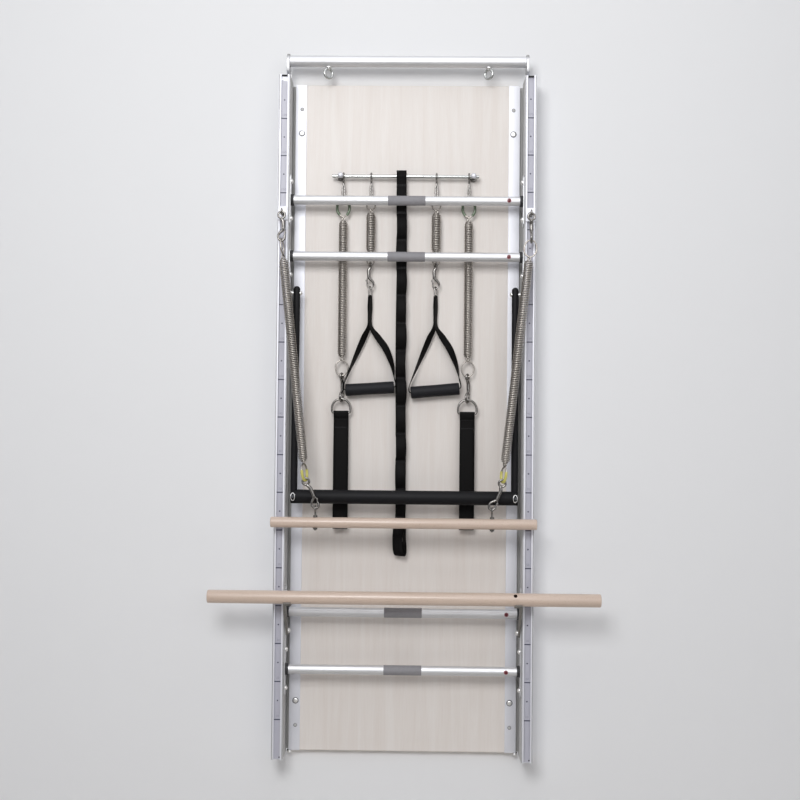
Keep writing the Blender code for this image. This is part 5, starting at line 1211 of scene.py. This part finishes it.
# NBR foam: closed-cell and skinned, soft matt black, with fine pores and a slight squeeze in the middle.
grip_foam, tree, shader = surface("black_nbr_foam", Roughness=0.6, Specular_IOR_Level=0.22)
place = add(tree, "ShaderNodeTexCoord")
pores = add(tree, "ShaderNodeTexVoronoi", values={"Scale": 900.0}, links={"Vector": place.outputs["Object"]})
figured(tree, shader, pores.outputs["Distance"], ("#121215", "#1e1e22"), relief=(0.4, 0.0003))


def facing(degrees):
    """A level direction, turned so far from the board's width."""
    return Vector((cos(radians(degrees)), sin(radians(degrees)), 0))


for side, label in SIDES:
    x, y, body = ARM_X[label], -ROD[2], "handle_" + label
    snap_hook("arm_rod_hook_" + label, (x, y, ROD_SNAP_FOOT), (x, y, ROD_SNAP_TOP), "board",
              "arm_rod_snap_" + label, (1, 0, 0), (0, 1, 0), 1, True)
    radius, loops, top, foot = ARM_SPRING
    spring("arm_spring_coil_" + label, (x, y, top), (x, y, foot), radius, loops,
           ((1, 0, 0), (0.87, 0.5, 0)), "board", "arm_spring_" + label)
    snap_hook("handle_hook_" + label, (x, y, ARM_SNAP[0]), (x, y, ARM_SNAP[1]), "board", "handle_snap_" + label,
              (-0.5, 0.87, 0), (1, 0, 0), 1, eye_radius=HANDLE_EYE_RADIUS, slim=HANDLE_SLIM)
    shift, drop, tilt, bows = HANDLES[label]
    ring_wire, ring_wide, ring_tall, ring_lift, ring_turn = HANDLE_RING
    hinge = Vector((x, y, ARM_SNAP[1]))
    face, apart = facing(ring_turn), facing(ring_turn + 90)
    ring_foot = ring_lift - ring_tall
    wide, tall = ring_wide / 2, ring_tall / 2
    outline = [(wide - 0.002, -tall), (wide - 0.0005, 0.0005 - tall), (wide, 0.002 - tall),
               (wide, tall - wide * 0.9), (wide * 0.8, tall - wide * 0.35), (wide * 0.4, tall - wide * 0.06),
               (0.0, tall)]
    outline += [(-u, v) for u, v in reversed(outline[:-1])]
    ring = [(hinge + face * u + Vector((0, 0, ring_foot + tall + v)), 1.0) for u, v in outline]
    ring = bent_wire("handle_ring_" + label, [smooth(ring, 4, True)], ring_wire, plated, 14)
    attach(ring, body)
    half = HAND_THICK / 2
    bend = ring_wire + half + 0.0001
    layer = apart * (half + 0.0007)
    end = GRIP_LENGTH / 2 + 0.0045
    across, up = Vector((cos(tilt), 0, sin(tilt))), Vector((-sin(tilt), 0, cos(tilt)))
    middle = Vector((shift, 0, -drop))
    line = []
    for a in (radians(180 - 45 * step) for step in range(5)):
        place = apart * (bend * cos(a)) + Vector((0, 0, ring_foot + bend * sin(a)))
        line.append((place, face, HAND_ON_RING))
    under, below = Vector((0, 0, ring_foot - 0.012)), Vector((0, 0, ring_foot - 0.030))
    line += [(layer + under, face, HAND_UNDER_RING), (layer + below, face, HAND_WIDE)]
    legs = {}
    for way, bow in zip((-1, 1), bows):
        start = layer * -way + Vector((0, 0, -HAND_SPLIT))
        at = middle + across * (way * end) + up * GRIP_RADIUS
        turns = (ring_turn, *HAND_TURNS[way], 90)
        legs[way] = [(start.lerp(at, share) + across * (way * bow) * push, facing(turn), HAND_WIDE)
                     for (share, push), turn in zip(HAND_BOWS, turns)]
        legs[way] += [(at - up * 0.004, facing(90), HAND_WIDE),
                      (at - up * (GRIP_RADIUS - 0.0052) + across * (way * 0.0004), facing(90), HAND_WIDE),
                      (middle + across * way * (end - 0.0022) + up * 0.0011, facing(90), HAND_WIDE)]
    line += legs[-1]
    line += [(middle + across * (end * share), facing(90), HAND_WIDE)
             for share in (-0.85, -0.4, 0.0, 0.4, 0.85)]
    line += legs[1][::-1]
    line += [(below - layer, face, HAND_WIDE), (under - layer, face, HAND_UNDER_RING)]
    sections = [(hinge + place, direction, width, HAND_THICK) for place, direction, width in line]
    strap = band("handle_webbing_" + label, sections, strap_black)
    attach(strap, body)
    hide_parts("handle_strap_" + label)
    seam = []
    for offset in (-0.006, 0.006):
        outer = layer * 2.05 + face * offset
        top, foot = Vector((0, 0, ring_foot - 0.016)), Vector((0, 0, -HAND_SPLIT + 0.012))
        seam.append([hinge + outer + top, hinge + outer + foot])
    stitches("handle_stitches_" + label, seam, body)
    h, r = GRIP_LENGTH / 2, GRIP_RADIUS
    profile = mirrored([(0.0112, -h + 0.0006), (0.0122, -h), (r - 0.0022, -h), (r - 0.0007, -h + 0.0007),
                        (r, -h + 0.0024), (r, -h * 0.7), (r - 0.0003, -h * 0.3), (r - 0.0004, 0.0)])
    spot = Matrix.Translation((x + shift, y, ARM_SNAP[1] - drop)) @ Matrix.Rotation(-tilt, 4, "Y")
    grip = lathe("foam_grip_" + label, profile, grip_foam, "X", (0, 0, 0), 48)
    grip.data.transform(spot)
    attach(grip, body)
    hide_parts("handle_grip_" + label)


# Centre loop strap: 27 mm webbing, sewn over the rod, its front layer sewn to the back one every 75 mm, so
# that it stands out in a row of loops, each pulled a little askew. The lowest loop hangs open and twisted.

LOOP_X, LOOP_DRIFT, LOOP_WIDE, LOOP_DEEP = -0.0122, 0.0052, 0.027, 0.0022
LOOP_FOOT, END_TALL = -0.3765, 0.105
# Each loop from the lowest: how far it stands out, how far it leans aside and how far it is turned.
LOOPS = ((0.0110, 0.0020, 10), (0.0095, -0.0008, -7), (0.0120, 0.0026, 12), (0.0090, 0.0002, -8),
         (0.0120, 0.0030, 11), (0.0100, -0.0010, -10), (0.0115, 0.0022, 9), (0.0090, 0.0004, -6),
         (0.0105, 0.0022, 8), (0.0085, -0.0010, -3), (0.0105, 0.0018, 7), (0.0085, 0.0000, 3))

half = LOOP_DEEP / 2
bend = (ROD[0] + LINK_GAP) / cos(radians(15)) + half
sewn = half + 0.0004
drop = ROD[1] - LOOP_FOOT
first, last = -0.024, -drop + END_TALL
pitch = (first - last) / len(LOOPS)
arch = [(-bend, 0.0), (-bend * 0.80, bend * 0.66), (-half - 0.0006, 0.0090), (-half - 0.0003, 0.0125),
        (-half * 0.75, 0.0152), (0.0, 0.0160)]
arch += [(-y, z) for y, z in reversed(arch[:-1])]
line = [(0.0, y, z, 0.0) for y, z in arch]
line += [(0.0, sewn * 1.6, first + 0.008, 0.0)]
line += [(0.0014 * sin(share * 9), sewn, first + (last - first) * share, 0.0)
         for share in (0.0, 0.2, 0.4, 0.6, 0.8, 1.0)]
line += [(0.0030, 0.0035, last - 0.014, -22), (0.0080, 0.0062, last - 0.034, -56),
         (0.0108, 0.0068, last - 0.056, -74), (0.0112, 0.0070, last - 0.076, -66),
         (0.0086, 0.0074, -drop + 0.0120, -50), (0.0050, 0.0040, -drop + 0.0030, -42),
         (0.0006, -0.0010, -drop + 0.0011, -34), (-0.0040, -0.0070, -drop + 0.0060, -24),
         (-0.0066, -0.0104, -drop + 0.0200, -14), (-0.0072, -0.0110, last - 0.060, -6),
         (-0.0058, -0.0086, last - 0.036, 0), (-0.0024, -0.0044, last - 0.014, 0)]
seams = []
for number, (out, aside, askew) in enumerate(LOOPS):
    base = last + pitch * number
    line.append((0.0, -sewn, base - 0.0035, 0.0))
    line.append((0.0, -sewn, base + 0.0035, 0.0))
    seams.append(base)
    for share in (0.20, 0.48, 0.78):
        swell = sin(share * pi)
        line.append((aside * swell, -sewn - out * swell, base + pitch * share, askew * swell))
line.append((0.0, -sewn, first - 0.0030, 0.0))
line.append((0.0, -sewn * 1.6, first + 0.008, 0.0))
sections = []
for aside, y, z, turn in line:
    middle = (LOOP_X + aside - LOOP_DRIFT * (0.5 + z / drop), -ROD[2] + y, ROD[1] + z)
    sections.append((middle, (cos(radians(turn)), sin(radians(turn)), 0), LOOP_WIDE, LOOP_DEEP))
strap = band("loop_webbing", sections, strap_black)
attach(strap, "board")
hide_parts("loop_strap")
lines = []
for base in seams + [first]:
    z = ROD[1] + base
    shift = LOOP_X - LOOP_DRIFT * (0.5 + base / drop)
    front = -ROD[2] - sewn - half - STITCH_OUT
    for offset in (-0.0015, 0.0015):
        lines.append([(shift - 0.0115, front, z + offset), (shift + 0.0115, front, z + offset)])
stitches("loop_stitches", lines, "board")


# Carriages: anodised blocks with a T-foot in the rail's slot, that slide up and down and clamp with the
# collar of their eye bolt. The eye points forwards and carries the spring's snap hook.

CHAIN_DEPTH, CARRIAGE_Z, CARRIAGE_HALF = 0.1255, 0.537, 0.018
EYE_RING, EYE_WIRE = 0.0070, 0.0020
# A carriage's plate, neck and foot, each as (name, half width, front, back, edge).
CARRIAGE_LAYERS = (("plate", 0.0130, 0.0976, 0.0941, 0.0009), ("neck", 0.0078, 0.0942, 0.0905, 0.0003),
                   ("foot", 0.0107, 0.0910, 0.0861, 0.0004))

for side, label in SIDES:
    middle, body = side * RAIL_MIDDLE, label + "_carriage"
    layers = [block(name, (middle - wide, -front, CARRIAGE_Z - CARRIAGE_HALF),
                    (middle + wide, -back, CARRIAGE_Z + CARRIAGE_HALF), anodised, edge)
              for name, wide, front, back, edge in CARRIAGE_LAYERS]
    slide = one_piece("carriage_block_" + label, layers)
    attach(slide, body)
    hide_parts("carriage_" + label)
    profile = [(0, -0.0004), (0.0070, -0.0004), (0.0072, 0.0004), (0.0072, 0.0034), (0.0066, 0.0044),
               (0.0046, 0.0046), (0.0042, 0.0056), (0.0042, 0.0120), (0.0036, 0.0136), (0.0032, 0.0205),
               (0, 0.0212)]
    shank = lathe("shank", profile, plated, "-Y", (middle, -CARRIAGE_LAYERS[0][2], CARRIAGE_Z), 28)
    eye = bent_wire("eye", [ring_route((middle, -CHAIN_DEPTH, CARRIAGE_Z), EYE_RING, (0, 1, 0), (0, 0, 1), 32)],
                    EYE_WIRE + 0.0001, plated, 14)
    eye = one_piece("carriage_eye_" + label, [eye, shank])
    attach(eye, body)


# Side chains: from each carriage a snap hook, a long spring with yellow hose on its lower loop, and a
# second snap hook down to the roll-down bar's eye bolt. They lean in towards the bar.

SIDE_SNAP = (0.5347, 0.460)
SIDE_SPRING = (0.0125, ((0.0165, 0.053), (0.0155, 0.050)))
SIDE_SPRING_TOP = 0.4638
SIDE_SPRING_FOOT = (0.2590, -0.1715)
LOW_SNAP_FOOT = (0.2315, -0.2440)
SNAP_HOOK_RADIUS, SIDE_EYE_RADIUS, LOOP_REST = 0.0078, 0.0088, 0.0038
# The planes of the top hook's eye and hook, and of the spring's two loops.
TOP_HOOK_PLANES = {"left": ((1, 0, 0), (1, 0, 0)), "right": ((1, 0, 0), (0, 1, 0))}
SIDE_LOOP_PLANES = {"left": ((0.12, 1, 0), (0.34, 0.94, 0)), "right": ((1, 0, 0), (-0.34, 0.94, 0))}

for side, label in SIDES:
    x, y = side * RAIL_MIDDLE, -CHAIN_DEPTH
    snap_hook("side_top_hook_" + label, (x, y, SIDE_SNAP[0]), (x, y, SIDE_SNAP[1]), "roll_down",
              "side_top_snap_" + label, *TOP_HOOK_PLANES[label], -1, eye_radius=SIDE_EYE_RADIUS)
    foot = (side * SIDE_SPRING_FOOT[0], y, SIDE_SPRING_FOOT[1])
    radius, loops = SIDE_SPRING
    spring("side_spring_coil_" + label, (x, y, SIDE_SPRING_TOP), foot, radius, loops, SIDE_LOOP_PLANES[label],
           "roll_down", "side_spring_" + label, (None, yellow_hose))
    hook_middle = Vector((side * LOW_SNAP_FOOT[0], y, LOW_SNAP_FOOT[1] + SNAP_HOOK_RADIUS))
    lean = (hook_middle - Vector(foot)).normalized()
    snap_hook("bar_hook_" + label, Vector(foot) - lean * LOOP_REST, hook_middle + lean * SNAP_HOOK_RADIUS,
              "roll_down", "bar_snap_" + label, (1, 0, 0), (1, 0, 0), -1, eye_radius=SIDE_EYE_RADIUS)


# Roll-down bar: a turned beech dowel, waxed, hung from two eye bolts that pass through it and are
# fixed with a nut above and below. Its ends are rounded over.

ROLL_BAR = (0.349, 0.0140, -0.28217)

beech, tree, shader = surface("waxed_beech", Roughness=0.36, Coat_Weight=0.35, Coat_Roughness=0.2)
place = add(tree, "ShaderNodeTexCoord")
stretched = add(tree, "ShaderNodeMapping", values={"Scale": (0.05, 1.0, 1.0)},
                links={0: place.outputs["Object"]})
figure = add(tree, "ShaderNodeTexNoise", values={"Scale": 130.0, "Detail": 4.0, "Distortion": 0.6},
             links={"Vector": stretched.outputs[0]})
flecks = add(tree, "ShaderNodeMapping", values={"Scale": (0.22, 1.0, 1.0)}, links={0: place.outputs["Object"]})
flecks = add(tree, "ShaderNodeTexNoise", values={"Scale": 900.0}, links={"Vector": flecks.outputs[0]})
dark = add(tree, "ShaderNodeMapRange", values={"From Min": 0.60, "From Max": 0.72, "To Max": 0.35},
           links={"Value": flecks.outputs["Fac"]})
wood = add(tree, "ShaderNodeMix", data_type="RGBA", values={6: paint("#d8c6b9"), 7: paint("#c8b1a0")},
           links={0: figure.outputs["Fac"]})
wood = add(tree, "ShaderNodeMix", data_type="RGBA", values={7: paint("#9c7a5c")},
           links={0: dark.outputs[0], 6: wood.outputs[2]})
tree.links.new(wood.outputs[2], shader.inputs["Base Color"])
relief = add(tree, "ShaderNodeBump", values={"Strength": 0.1, "Distance": 0.0003},
             links={"Height": figure.outputs["Fac"]})
tree.links.new(relief.outputs[0], shader.inputs["Normal"])

half, radius, roll_z = ROLL_BAR
profile = [(0, -half), (radius - 0.003, -half), (radius - 0.0012, -half + 0.0004),
           (radius - 0.0003, -half + 0.0014), (radius, -half + 0.003)]
dowel = lathe("beech_dowel", mirrored(profile), beech, "X", (0, -CHAIN_DEPTH, roll_z), 64)
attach(dowel, "roll_down")
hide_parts("roll_down_bar")
for side, label in SIDES:
    spot = (side * LOW_SNAP_FOOT[0], -CHAIN_DEPTH, roll_z)
    w = radius + 0.0003
    profile = [(0, -w - 0.0066), (0.0022, -w - 0.0066), (0.0025, -w - 0.0060), (0.0025, -w - 0.0045),
               (0.0055, -w - 0.0042), (0.0056, -w - 0.0036), (0.0056, -w - 0.0010), (0.0066, -w - 0.0008),
               (0.0066, -w + 0.0004), (0.0025, -w + 0.0004), (0.0025, w - 0.0004), (0.0066, w - 0.0004),
               (0.0066, w + 0.0008), (0.0056, w + 0.0010), (0.0056, w + 0.0038), (0.0050, w + 0.0044),
               (0.0024, w + 0.0044), (0.0024, w + 0.0145), (0, w + 0.0145)]
    bolt = lathe("bolt", profile, plated, "Z", spot, 24)
    middle = (spot[0], spot[1], roll_z + radius + 0.0145 + EYE_RING)
    eye = bent_wire("eye", [ring_route(middle, EYE_RING, (0, 1, 0), (0, 0, 1), 32)], EYE_WIRE, plated, 12)
    bolt = one_piece("bar_eye_bolt_turned_" + label, [bolt, eye])
    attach(bolt, "roll_down")
    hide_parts("bar_eye_bolt_" + label)


# Long bar: a loose beech bar 1.025 m long, with one cross hole near its right end, that lies in the cradles
# rolled a little back, so the hole looks up. It lifts out. Its ends are sanded round.

LONG_BAR = (0.5125, 0.0024, 0.0172, -0.4765, 0.139)
HOLE = (0.2925, 0.0050, radians(43))

# Painted shade in the hole: its wall is dark brown, for the shadow deep inside the narrow bore.
hole_painted_shade = clouded("bored_beech_painted_shade", ("#2a1710", "#4a2c1c"), 600.0, 3.0, Roughness=0.8)

half, middle_x, radius, long_z, long_depth = LONG_BAR
profile = [(0, -half), (radius - 0.0034, -half), (radius - 0.0014, -half + 0.0005),
           (radius - 0.0004, -half + 0.0016), (radius, -half + 0.0034)]
far_end = [(r, -z) for r, z in reversed(profile)]
profile += [(radius, HOLE[0] - middle_x + offset) for offset in (-0.04, -0.012, 0.012, 0.04)] + far_end
bar = lathe("long_beech_bar", profile, beech, "X", (middle_x, -long_depth, long_z), 72)
drill = lathe("drill", [(0, -0.03), (HOLE[1], -0.03), (HOLE[1], 0.03), (0, 0.03)], hole_painted_shade, "Y",
              (HOLE[0], -long_depth, long_z), 32, Matrix.Rotation(-HOLE[2], 4, "X"))
bar.data.materials.append(hole_painted_shade)
cut = bar.modifiers.new("hole", "BOOLEAN")
cut.operation, cut.solver, cut.object = "DIFFERENCE", "EXACT", drill
bpy.context.view_layer.update()
mesh = bpy.data.meshes.new_from_object(bar.evaluated_get(bpy.context.evaluated_depsgraph_get()))
bar.modifiers.remove(cut)
bar.data = mesh
mesh.set_sharp_from_angle(angle=radians(38))
bpy.data.objects.remove(drill, do_unlink=True)
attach(bar, "loose_bar")
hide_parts("long_bar")


# Cradles: pointed arms cut from steel plate, phosphated dark grey and bolted to the lowest hole plates, with
# a shallow trough bent round the long bar.

phosphated = clouded("phosphated_steel_plate", ("#6b6965", "#8d8a86"), 180.0, 5.0, Metallic=0.5, Roughness=0.55)
CRADLE_GAP, CRADLE_THICK, CRADLE_BOLT_Z = 0.0003, 0.006, -0.574

for side, label in SIDES:
    give("bar_cradle_" + label, phosphated)
    spot = (side * (PLATE_FACE - CRADLE_GAP - CRADLE_THICK), -PLATE_DEPTH, CRADLE_BOLT_Z)
    bolts("cradle_bolt_" + label, SOCKET_HEAD, [(spot, (-side, 0, 0), PLATE_BOLT)], "board", stainless)
